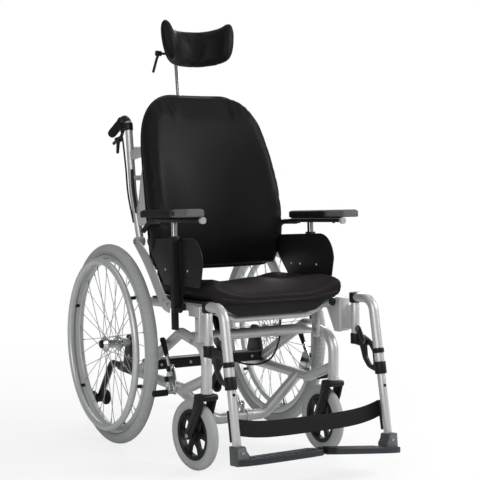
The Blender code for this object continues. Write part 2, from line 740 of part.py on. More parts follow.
def make_caster(side, chair):
    sign = SIDES[side]
    swivel = axis_empty(f"caster_swivel_{side}", (sign * FRAME_OFFSET, POST_Y, 0), chair,
                        (0, 0, CASTER_TURN[side]))
    half = CASTER_WIDTH / 2
    leg_x = half + FORK_WHEEL_GAP + FORK_LEG_THICKNESS / 2
    top = POST_BOTTOM - 0.001
    crown_low = top - FORK_CROWN
    crown = plate(rounded_outline([(-0.021, crown_low, 0.004), (-0.021, top, 0.006),
                                   (0.024, top, 0.006), (0.030, crown_low, 0.004)],
                                  FORK_CORNER_STEP),
                  0, 2 * leg_x + FORK_LEG_THICKNESS - 0.002)
    outline = rounded_outline([(-0.018, top - 0.003, 0.004), (0.022, top - 0.003, 0.004),
                               (0.034, top - 0.045, 0.020),
                               (CASTER_TRAIL + 0.013, CASTER_RADIUS + 0.004, 0.013),
                               (CASTER_TRAIL + 0.004, CASTER_RADIUS - 0.014, 0.010),
                               (CASTER_TRAIL - 0.014, CASTER_RADIUS - 0.006, 0.012),
                               (-0.002, top - 0.050, 0.020)], FORK_CORNER_STEP)
    legs = [plate(outline, x, FORK_LEG_THICKNESS) for x in (-leg_x, leg_x)]
    stem = rod((0, 0, crown_low + 0.002), (0, 0, POST_BOTTOM + STEM_LENGTH), STEM_RADIUS)
    bolt = rod((-leg_x - 0.006, CASTER_TRAIL, CASTER_RADIUS),
               (leg_x + 0.006, CASTER_TRAIL, CASTER_RADIUS), CASTER_BOLT_RADIUS, 8)
    place(fuse(crown, *legs, stem, bolt), f"caster_fork_{side}", swivel, "black_plastic")

    spin = axis_empty(f"caster_axis_{side}", (0, CASTER_TRAIL, CASTER_RADIUS), swivel)
    bore = hole_radius(CASTER_BOLT_RADIUS, SEAT_GAP, CASTER_STEPS)
    tread = CASTER_RADIUS
    inner = CASTER_RADIUS - CASTER_TYRE_DEPTH
    side_line = [(bore, half - 0.001), (0.015, half - 0.001), (0.019, 0.006),
                 (inner - 0.003, 0.006), (inner + 0.012, half), (tread, half * 0.45)]
    wheel = turned(side_line + [(radius, -along) for radius, along in side_line[::-1]],
                   steps=CASTER_STEPS)
    holes = []
    for number in range(CASTER_HOLES):
        angle = FULL_TURN * number / CASTER_HOLES
        y = math.cos(angle) * CASTER_HOLE_CIRCLE
        z = math.sin(angle) * CASTER_HOLE_CIRCLE
        holes.append(rod((-0.02, y, z), (0.02, y, z), CASTER_HOLE_RADIUS, 6))
    place(cut(wheel, merged(holes)), f"caster_wheel_{side}", spin, "grey_rubber")


def make_anti_tipper(side, chair):
    sign = SIDES[side]
    x = sign * FRAME_OFFSET
    turn = axis_empty(f"anti_tipper_axis_{side}", (x, RAIL_REAR, RAIL_HEIGHT), chair)
    end_y = TIPPER_END_Y - RAIL_REAR
    end_z = TIPPER_END_HEIGHT - RAIL_HEIGHT
    elbow_y = TIPPER_ELBOW_Y - RAIL_REAR
    arm = tube(rounded_path([((0, 0.004, 0), 0), ((0, elbow_y, 0), 0.035),
                             ((0, end_y, end_z), 0)]), TIPPER_TUBE)
    eye = rod((-0.0125, end_y, end_z), (0.0125, end_y, end_z), 0.014, 8)
    collar = rod((0, SEAT_GAP, 0), (0, 0.022, 0), FRAME_TUBE, 8)
    arm = fuse(arm, eye, collar)
    arm = cut(arm, rod((-0.02, end_y, end_z), (0.02, end_y, end_z),
                       hole_radius(0.005, RUN_GAP, 10), 10))
    place(arm, f"anti_tipper_{side}", turn, "black_plastic")
    spin = axis_empty(f"anti_tipper_wheel_axis_{side}", (0, end_y, end_z), turn)
    half = TIPPER_WHEEL_WIDTH / 2
    parts = [rod((-TIPPER_WHEEL_SPREAD, 0, 0), (TIPPER_WHEEL_SPREAD, 0, 0), 0.005, 7)]
    for centre in (-TIPPER_WHEEL_SPREAD, TIPPER_WHEEL_SPREAD):
        parts.append(turned([(0.002, centre + half), (TIPPER_WHEEL_RADIUS - 0.003, centre + half),
                             (TIPPER_WHEEL_RADIUS, centre), (TIPPER_WHEEL_RADIUS - 0.003, centre - half),
                             (0.002, centre - half)], steps=10))
    place(fuse(*parts), f"anti_tipper_wheels_{side}", spin, "black_plastic")


def make_brake(side, chair):
    sign = SIDES[side]
    x = sign * BRAKE_OFFSET
    outline = rounded_outline([(-0.325, 0.196, 0.006), (-0.262, 0.196, 0.006),
                               (-0.262, 0.232, 0.006), (-0.286, BRAKE_PIVOT_HEIGHT + 0.012, 0.008),
                               (-0.312, BRAKE_PIVOT_HEIGHT + 0.012, 0.008),
                               (-0.325, 0.240, 0.008)])
    bracket = plate(outline, x, BRAKE_PLATE)
    inner = x - sign * BRAKE_PLATE / 2
    lever_pin = rod((inner + sign * 0.001, BRAKE_PIVOT_Y, BRAKE_PIVOT_HEIGHT),
                    (x + sign * 0.0105, BRAKE_PIVOT_Y, BRAKE_PIVOT_HEIGHT), 0.004, 8)
    shoe_pin = rod((inner + sign * 0.001, SHOE_PIVOT_Y, SHOE_PIVOT_HEIGHT),
                   (x + sign * 0.0105, SHOE_PIVOT_Y, SHOE_PIVOT_HEIGHT), 0.004, 8)
    place(fuse(bracket, lever_pin, shoe_pin), f"brake_bracket_{side}", chair, "chrome")
    layer = x + sign * (BRAKE_PLATE / 2 + SEAT_GAP + 0.0025)
    lever_axis = axis_empty(f"brake_lever_axis_{side}", (0, BRAKE_PIVOT_Y, BRAKE_PIVOT_HEIGHT),
                            chair)
    reach_y = math.sin(BRAKE_LEVER_LEAN) * BRAKE_LEVER_LENGTH
    reach_z = math.cos(BRAKE_LEVER_LEAN) * BRAKE_LEVER_LENGTH
    across = Vector((0, math.cos(BRAKE_LEVER_LEAN), -math.sin(BRAKE_LEVER_LEAN))) * 0.008
    blade = plate(rounded_outline([(-across.y, -across.z - 0.004, 0.007),
                                   (across.y, across.z - 0.004, 0.007),
                                   (reach_y * 0.6 + across.y * 0.7,
                                    reach_z * 0.6 + across.z * 0.7, 0.003),
                                   (reach_y * 0.6 - across.y * 0.7,
                                    reach_z * 0.6 - across.z * 0.7, 0.003)]), layer, 0.005)
    grip = rod((layer, reach_y * 0.42, reach_z * 0.42), (layer, reach_y, reach_z),
               BRAKE_GRIP_RADIUS * 0.8, 8, BRAKE_GRIP_RADIUS)
    lever = fuse(blade, grip)
    lever = cut(lever, rod((layer - 0.01, 0, 0), (layer + 0.01, 0, 0),
                           hole_radius(0.004, RUN_GAP, 8), 8))
    place(lever, f"brake_lever_{side}", lever_axis, "black_plastic")

    shoe_axis = axis_empty(f"brake_shoe_axis_{side}", (0, SHOE_PIVOT_Y, SHOE_PIVOT_HEIGHT), chair)
    shoe_y = SHOE_Y - SHOE_PIVOT_Y
    shoe_z = SHOE_HEIGHT - SHOE_PIVOT_HEIGHT
    link = plate(rounded_outline([(0.008, 0.008, 0.007), (-0.008, 0.008, 0.007),
                                  (shoe_y - 0.008, shoe_z - 0.004, 0.006),
                                  (shoe_y + 0.006, shoe_z - 0.007, 0.006)]), layer, 0.005)
    shoe = rod((layer - sign * 0.002, shoe_y, shoe_z),
               (sign * (WHEEL_OFFSET + 0.014), shoe_y, shoe_z), SHOE_RADIUS, 10)
    arm = cut(fuse(link, shoe), rod((layer - 0.01, 0, 0), (layer + 0.01, 0, 0),
                                    hole_radius(0.004, RUN_GAP, 8), 8))
    place(arm, f"brake_shoe_{side}", shoe_axis, "black_plastic")


def tilt_spring_head():
    """Where the tilt spring's upper eye lies in the seat unit's axes."""
    y = TILT_SPRING_HEAD[0] - TILT_PIVOT_Y
    z = TILT_SPRING_HEAD[1] - tilt_pivot_height()
    return (y * math.cos(SEAT_ANGLE) - z * math.sin(SEAT_ANGLE),
            y * math.sin(SEAT_ANGLE) + z * math.cos(SEAT_ANGLE))


def back_plate_outline():
    """A curved strap from the seat rail up to the recline pivot."""
    knots = [(0.158, 0.086), (0.196, 0.100), (0.236, 0.141), (0.281, 0.192), (0.327, 0.234),
             (RECLINE_BACK, RECLINE_LIFT)]
    half_widths = [0.018, 0.021, 0.021, 0.021, 0.019, 0.013]
    centre = [Vector((*knot, 0)) for knot in knots]
    left = []
    right = []
    for index, (point, width) in enumerate(zip(centre, half_widths)):
        ahead = centre[min(index + 1, len(centre) - 1)]
        behind = centre[max(index - 1, 0)]
        along = (ahead - behind).normalized()
        across = Vector((-along.y, along.x, 0)) * width
        left.append((point + across)[:2])
        right.append((point - across)[:2])
    tip = centre[-1] + (centre[-1] - centre[-2]).normalized() * 0.012
    return left + [(tip.x, tip.y)] + right[::-1]


def make_seat_frame(seat):
    rails = []
    extras = []
    holes = []
    for side, sign in SIDES.items():
        x = sign * SEAT_RAIL_OFFSET
        rails.append(rod((x, SEAT_RAIL_FRONT, SEAT_RAIL_LIFT), (x, SEAT_RAIL_REAR, SEAT_RAIL_LIFT),
                         SEAT_RAIL_TUBE, 8))
        lug_x = sign * (FRAME_OFFSET - FRAME_TUBE - 0.001 - LUG_THICKNESS / 2)
        extras.append(plate(rounded_outline([(-LUG_RADIUS, -LUG_RADIUS, LUG_RADIUS * 0.9),
                                             (LUG_RADIUS, -LUG_RADIUS, LUG_RADIUS * 0.9),
                                             (LUG_RADIUS, SEAT_RAIL_LIFT, 0.004),
                                             (-LUG_RADIUS, SEAT_RAIL_LIFT, 0.004)]),
                            lug_x, LUG_THICKNESS))
        holes.append(rod((lug_x - 0.01, 0, 0), (lug_x + 0.01, 0, 0),
                         hole_radius(PIN_RADIUS, RUN_GAP, 10), 10))
        strap_x = sign * BACK_PLATE_OFFSET
        extras.append(plate(back_plate_outline(), strap_x, BACK_PLATE_THICKNESS))
        extras.append(box((strap_x - sign * 0.012, 0.150, SEAT_RAIL_LIFT - 0.008),
                          (strap_x + sign * 0.001, 0.205, SEAT_RAIL_LIFT + 0.008)))
        extras.append(rod((strap_x, RECLINE_BACK, RECLINE_LIFT),
                          (sign * (CANE_OFFSET - 0.012), RECLINE_BACK, RECLINE_LIFT),
                          HINGE_PIN_RADIUS, 10))
        hanger_x_centre = 0.217
        hanger_x = sign * hanger_x_centre
        extras.append(plate([(0.020, SEAT_RAIL_LIFT + 0.010), (HANGER_FRONT, SEAT_RAIL_LIFT + 0.010),
                             (HANGER_FRONT, 0.004), (-0.062, 0.004), (-0.024, SEAT_RAIL_LIFT - 0.022),
                             (0.020, SEAT_RAIL_LIFT - 0.022)], hanger_x, 0.010))
        extras.append(box((sign * (SEAT_RAIL_OFFSET + 0.006), SEAT_RAIL_FRONT + 0.004,
                           SEAT_RAIL_LIFT - 0.007),
                          (sign * (hanger_x_centre - 0.003), 0.010, SEAT_RAIL_LIFT + 0.007)))
        extras.append(box((sign * 0.2135, HANGER_FRONT - 0.004, 0.006),
                          (sign * 0.247, HANGER_FRONT + 0.024, SEAT_RAIL_LIFT + 0.012),
                          bevel=0.003))
        extras.append(box((sign * (SWING_OFFSET - 0.004), SWING_BACK, 0.012),
                          (sign * (SWING_OFFSET + 0.004), HANGER_FRONT + 0.002, SEAT_RAIL_LIFT - 0.010)))
        extras.append(rod((sign * SWING_OFFSET, SWING_BACK, SWING_POST_BOTTOM),
                          (sign * SWING_OFFSET, SWING_BACK, SWING_POST_TOP),
                          SWING_POST_RADIUS, 10))
        holes.append(rod((sign * SWING_OFFSET, SWING_BACK, SWING_POST_TOP - SWING_PIN_LENGTH - 0.004),
                         (sign * SWING_OFFSET, SWING_BACK, SWING_POST_TOP + 0.01),
                         hole_radius(SWING_PIN_RADIUS, RUN_GAP, 10), 10))
    drop = tube(rounded_path([((-SEAT_RAIL_OFFSET, DROP_TUBE_BACK, SEAT_RAIL_LIFT), 0),
                              ((-DROP_TUBE_HALF_FLAT, DROP_TUBE_BACK, DROP_TUBE_LIFT), 0.030),
                              ((DROP_TUBE_HALF_FLAT, DROP_TUBE_BACK, DROP_TUBE_LIFT), 0.030),
                              ((SEAT_RAIL_OFFSET, DROP_TUBE_BACK, SEAT_RAIL_LIFT), 0)]), DROP_TUBE)
    rear = rod((-SEAT_RAIL_OFFSET, SEAT_RAIL_REAR - 0.014, SEAT_RAIL_LIFT - 0.002),
               (SEAT_RAIL_OFFSET, SEAT_RAIL_REAR - 0.014, SEAT_RAIL_LIFT - 0.002), 0.011, 8)
    bar_z = SEAT_RAIL_LIFT - MID_BAR_DROP
    middle = rod((-SEAT_RAIL_OFFSET, MID_BAR_BACK, bar_z), (SEAT_RAIL_OFFSET, MID_BAR_BACK, bar_z),
                 MID_BAR_RADIUS, 8)
    head_y, head_z = tilt_spring_head()
    clevis = rounded_outline([(head_y - 0.010, head_z - 0.010, 0.008),
                              (head_y + 0.011, head_z - 0.009, 0.008),
                              (MID_BAR_BACK + 0.006, bar_z + 0.002, 0.001),
                              (MID_BAR_BACK - 0.006, bar_z + 0.002, 0.001)], EAR_STEP)
    for x in (-0.0105, 0.0105):
        extras.append(plate(clevis, x, 0.004))
    foot_y, foot_z = RECLINE_FOOT
    ear = rounded_outline([(-0.040, -0.008, 0.003), (0.010, -0.012, 0.008), (0.012, 0.012, 0.008),
                           (-0.034, 0.012, 0.003)], EAR_STEP)
    for x in (-0.012, 0.012):
        extras.append(plate([(foot_y + y, foot_z + z) for y, z in ear],
                            RECLINE_SPRING_OFFSET + x, 0.004))
    extras.append(rod((RECLINE_SPRING_OFFSET - 0.013, foot_y, foot_z),
                      (RECLINE_SPRING_OFFSET + 0.013, foot_y, foot_z), 0.004, 8))
    frame = fuse(drop, *rails, rear, middle, *extras)
    frame = cut(frame, *holes)
    place(frame, "seat_frame", seat, "silver")


def make_seat_pan(seat):
    top = SEAT_RAIL_LIFT + SEAT_RAIL_TUBE + PAN_THICKNESS + SEAT_GAP
    sheet = box((-PAN_HALF_WIDTH - 0.02, PAN_FRONT, top - PAN_THICKNESS),
                (PAN_HALF_WIDTH + 0.02, PAN_REAR, top))
    curve_points = [(-PAN_HALF_WIDTH, top - 0.002), (PAN_HALF_WIDTH, top - 0.002),
                    (PAN_HALF_WIDTH - 0.030, top - PAN_LIP * 0.5),
                    (DROP_TUBE_HALF_FLAT, top - PAN_LIP - 0.010),
                    (-DROP_TUBE_HALF_FLAT, top - PAN_LIP - 0.010),
                    (-PAN_HALF_WIDTH + 0.030, top - PAN_LIP * 0.5)]
    lip = prism([(x, PAN_FRONT, z) for x, z in curve_points], (0, 0.005, 0))
    place(fuse(sheet, lip), "seat_pan", seat, "black_plastic")
    return top


def cushion_cage(half_width, front, rear, low, high, columns, rows, lift, flare):
    """A closed cushion cage; lift gives how far each top point stands above the plain top."""
    shape = bmesh.new()
    tops = []
    bottoms = []
    for row in range(rows + 1):
        v = row / rows
        y = front + (rear - front) * v
        for column in range(columns + 1):
            u = column / columns * 2 - 1
            inset = 1 - 0.05 * abs(2 * v - 1) ** 3
            x = u * (half_width * inset + flare * max(0, 1 - v / 0.2))
            tops.append(shape.verts.new((x, y, high + lift(u, v))))
            bottoms.append(shape.verts.new((x * 0.96, front + (rear - front) * (0.02 + 0.96 * v),
                                            low)))
    width = columns + 1
    for row in range(rows):
        for column in range(columns):
            a = row * width + column
            shape.faces.new((tops[a], tops[a + 1], tops[a + width + 1], tops[a + width]))
            shape.faces.new((bottoms[a], bottoms[a + width], bottoms[a + width + 1],
                             bottoms[a + 1]))
    for column in range(columns):
        shape.faces.new((tops[column], bottoms[column], bottoms[column + 1], tops[column + 1]))
        a = rows * width + column
        shape.faces.new((tops[a], tops[a + 1], bottoms[a + 1], bottoms[a]))
    for row in range(rows):
        a = row * width
        shape.faces.new((tops[a], tops[a + width], bottoms[a + width], bottoms[a]))
        a = row * width + columns
        shape.faces.new((tops[a], bottoms[a], bottoms[a + width], tops[a + width]))
    return from_bmesh(shape)


def softened(item, levels=1):
    smooth = item.modifiers.new("soft", "SUBSURF")
    smooth.levels = levels
    smooth.render_levels = levels
    bpy.context.view_layer.update()
    return settle(item)


def make_seat_cushion(seat, pan_top):
    def lift(u, v):
        sides = 0.020 * abs(u) ** 2.5
        thighs = -0.010 * math.cos(math.pi * u) ** 2 * (1 - v) * (1 - abs(u))
        hump = 0.012 * math.exp(-(u / 0.35) ** 2) * math.exp(-((v - 0.20) / 0.20) ** 2)
        bowl = -0.012 * math.exp(-((v - 0.68) / 0.25) ** 2) * (1 - u * u)
        edge = -0.020 * (max(abs(2 * v - 1) - 0.72, 0) / 0.28) ** 2
        return sides + thighs + hump + bowl + edge

    low = pan_top + SEAT_GAP
    cage = cushion_cage(CUSHION_HALF_WIDTH, CUSHION_FRONT, CUSHION_REAR, low,
                        low + CUSHION_THICKNESS, 8, 5, lift, CUSHION_FLARE)
    place(softened(cage), "seat_cushion", seat, "black_fabric")


def panel_outline():
    """The side panel: a quarter ellipse at the front top, cut away at the rear."""
    middle_y = PANEL_FRONT + PANEL_CORNER
    rise = PANEL_TOP - PANEL_FRONT_LIFT
    quarter = [math.pi - step * math.pi / 12 for step in range(7)]
    corner = [(middle_y + PANEL_CORNER * math.cos(angle),
               PANEL_FRONT_LIFT + rise * math.sin(angle), 0) for angle in quarter]
    return rounded_outline([(PANEL_REAR_LOW, PANEL_BOTTOM, 0.010),
                            (*PANEL_REAR_MID, 0),
                            (PANEL_REAR, PANEL_TOP - 0.018, 0.004),
                            (PANEL_REAR, PANEL_TOP - 0.006, 0.004)]
                           + corner[::-1]
                           + [(PANEL_FRONT_LOW, PANEL_BOTTOM, 0.012)], math.radians(40))


def make_arm_side(side, seat):
    sign = SIDES[side]
    panel = plate(panel_outline(), sign * PANEL_OFFSET, PANEL_THICKNESS)
    sleeve_x = sign * SLEEVE_OFFSET
    sleeve = box((sleeve_x - SLEEVE_HALF, SLEEVE_BACK - SLEEVE_HALF, SLEEVE_BOTTOM),
                 (sleeve_x + SLEEVE_HALF, SLEEVE_BACK + SLEEVE_HALF, SLEEVE_TOP))
    web = box((sign * (PANEL_OFFSET + 0.001), SLEEVE_BACK - 0.015, PANEL_BOTTOM + 0.014),
              (sleeve_x - sign * 0.009, SLEEVE_BACK + 0.015, PANEL_TOP - 0.012))
    rail_side = sign * (SEAT_RAIL_OFFSET + SEAT_RAIL_TUBE + SEAT_GAP)
    foot = box((rail_side, SLEEVE_BACK - 0.020, SEAT_RAIL_LIFT - 0.010),
               (sleeve_x - sign * 0.0085, SLEEVE_BACK + 0.020, SEAT_RAIL_LIFT + 0.010))
    rib = box((sign * (PANEL_OFFSET - PANEL_THICKNESS * 0.4), SLEEVE_BACK - 0.018,
               SEAT_RAIL_LIFT - 0.006),
              (sign * (PANEL_OFFSET + PANEL_THICKNESS * 0.4), SLEEVE_BACK + 0.018,
               PANEL_BOTTOM + 0.010))
    knob = rod((sleeve_x, SLEEVE_BACK - SLEEVE_HALF - 0.016, SLEEVE_BOTTOM + 0.055),
               (sleeve_x, SLEEVE_BACK - SLEEVE_HALF + 0.002, SLEEVE_BOTTOM + 0.055), 0.009, 8)
    body = fuse(panel, sleeve, web, foot, rib, knob)
    # The sleeve's foot passes outside the frame tube as the seat tilts.
    notch = box((sleeve_x - sign * (SLEEVE_HALF + 0.001), SLEEVE_BACK - SLEEVE_HALF - 0.001,
                 SLEEVE_BOTTOM - 0.001),
                (sign * (FRAME_OFFSET + FRAME_TUBE + TUBE_CLEARANCE),
                 SLEEVE_BACK + SLEEVE_HALF + 0.001, SLEEVE_NOTCH_TOP))
    bore_half = POST_HALF + SEAT_GAP
    bore = box((sleeve_x - bore_half, SLEEVE_BACK - bore_half, SLEEVE_TOP - POST_DEPTH - 0.008),
               (sleeve_x + bore_half, SLEEVE_BACK + bore_half, SLEEVE_TOP + 0.020))
    body = cut(body, notch, bore)
    place(body, f"side_panel_{side}", seat, "black_plastic")

    raise_by = ARM_RAISE[side]
    slide = axis_empty(f"armrest_slide_{side}", (sleeve_x, SLEEVE_BACK, SLEEVE_TOP), seat)
    rail_low = ARM_PAD_LIFT - ARM_RAIL_HEIGHT
    bar_top = rail_low + raise_by - SLEEVE_TOP - SEAT_GAP
    bar_low = bar_top - ARM_BAR_THICKNESS
    bar_mid = (bar_top + bar_low) / 2
    post = box((-POST_HALF, -POST_HALF, raise_by - POST_DEPTH),
               (POST_HALF, POST_HALF, bar_low + 0.002))
    bar = box((-ARM_BAR_HALF, ARM_BAR_FRONT - SLEEVE_BACK, bar_low),
              (ARM_BAR_HALF, ARM_BAR_REAR - SLEEVE_BACK, bar_top))
    knob_z = bar_mid - 0.001
    knob = rod((0, ARM_BAR_FRONT - SLEEVE_BACK + 0.002, knob_z),
               (0, ARM_BAR_FRONT - SLEEVE_BACK - ARM_KNOB_LENGTH, knob_z), ARM_KNOB_RADIUS, 10)
    bend_y, bend_z = ARM_BEND
    end_y, end_z = ARM_END
    rear = tube(rounded_path([((0, ARM_BAR_REAR - SLEEVE_BACK - 0.030, bar_mid - 0.0029), 0),
                              ((0, bend_y - SLEEVE_BACK, bend_z + raise_by - SLEEVE_TOP), 0.050),
                              ((0, end_y - SLEEVE_BACK, end_z + raise_by - SLEEVE_TOP), 0)]),
                ARM_TUBE)
    studs = [rod((0, y, bar_low - 0.003), (0, y, bar_low + 0.002), 0.004, 6)
             for y in (-0.126, 0.062)]
    arm = fuse(bar, post, knob, rear, *studs)
    place(arm, f"armrest_post_{side}", slide, "dark_plastic")

    pad_x = sign * (ARM_PAD_OFFSET - SLEEVE_OFFSET)
    pad_z = ARM_PAD_LIFT + raise_by - SLEEVE_TOP
    pad_axis = axis_empty(f"armrest_pad_slide_{side}", (pad_x, 0, pad_z), slide)
    half = ARM_PAD_WIDTH / 2
    front = ARM_PAD_FRONT - SLEEVE_BACK
    rear_end = ARM_PAD_REAR - SLEEVE_BACK
    pad = box((-half, front, 0), (half, rear_end, ARM_PAD_THICKNESS), bevel=0.005)
    runner = box((-pad_x - 0.007, front + 0.020, -ARM_RAIL_HEIGHT),
                 (-pad_x + 0.007, rear_end - 0.020, 0.002))
    place(fuse(pad, runner), f"armrest_pad_{side}", pad_axis, "dark_plastic")


def cane_path(x):
    grip_dir = Vector((0, math.cos(HANDLE_DROP), -math.sin(HANDLE_DROP)))
    corner = Vector((x, CANE_SET_BACK, HANDLE_LIFT))
    return rounded_path([((x, 0, 0), 0),
                         ((x, CANE_SET_BACK, CANE_BEND_LIFT), 0.080),
                         (corner, 0.030),
                         (corner + grip_dir * (HANDLE_BACK - CANE_SET_BACK), 0)])


def shell_outline():
    """Half widths of the backrest at its heights, bottom to top."""
    return [(BACK_BOTTOM, 0.150), (BACK_BOTTOM + 0.035, 0.190), (0.040, BACK_HALF_WIDTH),
            (0.200, BACK_HALF_WIDTH), (0.330, BACK_HALF_WIDTH - 0.006),
            (BACK_TOP - 0.055, BACK_HALF_WIDTH - 0.028),
            (BACK_TOP - 0.014, BACK_HALF_WIDTH - 0.066), (BACK_TOP, BACK_HALF_WIDTH - 0.112)]


def wing(span, u, z, power):
    """How far the sides of the backrest stand forward, more so low down."""
    lower = min(max((BACK_WING_HEIGHT - z) / BACK_WING_SPAN, 0), 1)
    return (span[0] + span[1] * lower) * abs(u) ** power


def back_surface(u, z, depth):
    """How far back a point of the shell lies, u from side to side."""
    return BACK_SURFACE + depth - wing(REAR_WING, u, z, 2.4)


def cushion_front(u, z):
    """The front of the backrest cushion: a crown, with hollowed sides that wrap round."""
    v = (z - BACK_BOTTOM) / (BACK_TOP - BACK_BOTTOM) * 2 - 1
    crown = BACK_CUSHION_EDGE + BACK_CROWN * (1 - v ** 4)
    return BACK_SURFACE - crown - wing(FRONT_WING, u, z, 2.2) * (1 - 0.6 * v ** 6)


def backrest_sheet(front, rear, columns, spread=1.0):
    """A closed body between two surfaces over the outline of the backrest."""
    shape = bmesh.new()
    rows = shell_outline()
    grid = {}
    for row, (z, half) in enumerate(rows):
        for column in range(columns + 1):
            u = column / columns * 2 - 1
            x = u * half * spread
            grid[0, row, column] = shape.verts.new((x, rear(u, z), z))
            grid[1, row, column] = shape.verts.new((x, front(u, z), z))
    last = len(rows) - 1

    def face(*keys):
        shape.faces.new([grid[key] for key in keys])

    for row in range(last):
        for column in range(columns):
            for layer in (0, 1):
                face((layer, row, column), (layer, row, column + 1), (layer, row + 1, column + 1),
                     (layer, row + 1, column))
        for column in (0, columns):
            face((0, row, column), (0, row + 1, column), (1, row + 1, column), (1, row, column))
    for column in range(columns):
        for row in (0, last):
            face((0, row, column), (1, row, column), (1, row, column + 1), (0, row, column + 1))
    return from_bmesh(shape)


def make_back_frame(back):
    canes = [tube(cane_path(sign * CANE_OFFSET), CANE_TUBE) for sign in (-1, 1)]
    parts = []
    holes = []
    for sign in (-1, 1):
        x = sign * CANE_OFFSET
        parts.append(rod((sign * (CANE_OFFSET - 0.0105), 0, 0),
                         (sign * (BACK_PLATE_OFFSET - BACK_PLATE_THICKNESS / 2 - 0.0006), 0, 0),
                         HINGE_RADIUS, 12))
        holes.append(rod((x - 0.02, 0, 0), (x + 0.02, 0, 0),
                         hole_radius(HINGE_PIN_RADIUS, RUN_GAP, 12)))
        for lift in SHELL_BLOCK_LIFTS:
            seat_y = 0.28 * back_surface(0.75, lift, 0.0085) + 0.72 * back_surface(1, lift, 0.0085)
            parts.append(box((x - 0.006, seat_y, lift - 0.012),
                             (x + 0.006, CANE_SET_BACK * min(lift / CANE_BEND_LIFT, 1), lift + 0.012)))
    bars = [rod((-CANE_OFFSET, CANE_SET_BACK * share, lift), (CANE_OFFSET, CANE_SET_BACK * share, lift),
                0.009, 8)
            for lift, share in ((LOW_BAR_LIFT, LOW_BAR_LIFT / CANE_BEND_LIFT), (HIGH_BAR_LIFT, 1))]
    shell = backrest_sheet(lambda u, z: back_surface(u, z, 0.006),
                           lambda u, z: back_surface(u, z, 0.006 + SHELL_THICKNESS), 6)
    guide = box((-0.018, CANE_SET_BACK - 0.004, HIGH_BAR_LIFT - 0.030),
                (0.018, STEM_BACK + 0.014, HIGH_BAR_LIFT + 0.030), bevel=0.003)
    head_y, head_z = RECLINE_HEAD
    ear = rounded_outline([(-0.030, -0.010, 0.003), (0.010, -0.012, 0.008), (0.010, 0.012, 0.008),
                           (-0.030, 0.012, 0.003)], EAR_STEP)
    spring_bar = rod((-CANE_OFFSET, head_y - 0.021, head_z), (CANE_OFFSET, head_y - 0.021, head_z),
                     0.008, 8)
    for x in (-0.012, 0.012):
        parts.append(plate([(head_y + y, head_z + z) for y, z in ear],
                           RECLINE_SPRING_OFFSET + x, 0.004))
    frame = fuse(*canes, *bars, spring_bar, guide, shell, *parts)
    slot = box((-STEM_HALF - SEAT_GAP, STEM_BACK - STEM_HALF - SEAT_GAP, HIGH_BAR_LIFT - 0.05),
               (STEM_HALF + SEAT_GAP, STEM_BACK + STEM_HALF + SEAT_GAP, HIGH_BAR_LIFT + 0.05))
    frame = cut(frame, slot, *holes)
    place(frame, "back_frame", back, "silver")


def make_backrest_cushion(back):
    cage = backrest_sheet(cushion_front, lambda u, z: back_surface(u, z, 0.0035), 6,
                          BACK_CUSHION_SPREAD)
    place(softened(cage), "backrest_cushion", back, "black_fabric")


def make_handle(side, back):
    sign = SIDES[side]
    path = cane_path(sign * CANE_OFFSET)
    end = path[-1]
    along = (path[-1] - path[-2]).normalized()
    start = end - along * (GRIP_LENGTH - 0.006)
    grip = rod(start, end + along * 0.006, GRIP_RADIUS, 10, GRIP_RADIUS - 0.0006)
    bore = rod(start - along * 0.01, end + along * SEAT_GAP, CANE_TUBE + SEAT_GAP + 0.0009, 10)
    place(cut(grip, bore), f"grip_{side}", back, "black_plastic")
    pivot = start - along * 0.012 + Vector((0, 0, -0.024))
    axis = axis_empty(f"release_axis_{side}", pivot, back)
    blade = tube(rounded_path([((0, 0, 0), 0), (along * 0.030 + Vector((0, 0, -0.012)), 0.020),
                               (along * 0.090 + Vector((0, 0, -0.010)), 0)]), 0.0045, 6)
    hub = rod((-0.007, 0, 0), (0.007, 0, 0), 0.008, 10)
    place(fuse(blade, hub), f"release_lever_{side}", axis, "black_plastic")
    return pivot


def head_pad_cage():
    """A shallow U seen from above, with wings that rise above the middle."""
    shape = bmesh.new()
    columns = 8
    sections = []
    for column in range(columns + 1):
        u = column / columns * 2 - 1
        angle = u * math.radians(78)
        radius = HEAD_PAD_HALF_WIDTH / math.sin(math.radians(78))
        outer = Vector((radius * math.sin(angle), -(HEAD_PAD_DEPTH / 0.79) * (1 - math.cos(angle)), 0))
        normal = Vector((math.sin(angle), math.cos(angle), 0))
        thickness = HEAD_PAD_THICKNESS * (1 - 0.35 * abs(u) ** 3)
        inner = outer - normal * thickness
        top = HEAD_PAD_HEIGHT / 2 + HEAD_WING_RISE * abs(u) ** 2.2
        low = -HEAD_PAD_HEIGHT / 2 + 0.040 * abs(u) ** 2.5
        low_z = Vector((0, 0, low))
        top_z = Vector((0, 0, top))
        mid = (outer + inner) / 2
        sections.append([shape.verts.new(point) for point in
                         (outer + low_z * 0.8, outer + top_z * 0.8, mid + top_z,
                          inner + top_z * 0.8, inner + low_z * 0.8, mid + low_z)])
    for left, right in zip(sections, sections[1:]):
        for index in range(6):
            after = (index + 1) % 6
            shape.faces.new((left[index], left[after], right[after], right[index]))
    shape.faces.new(sections[0])
    shape.faces.new(sections[-1][::-1])
    return from_bmesh(shape)


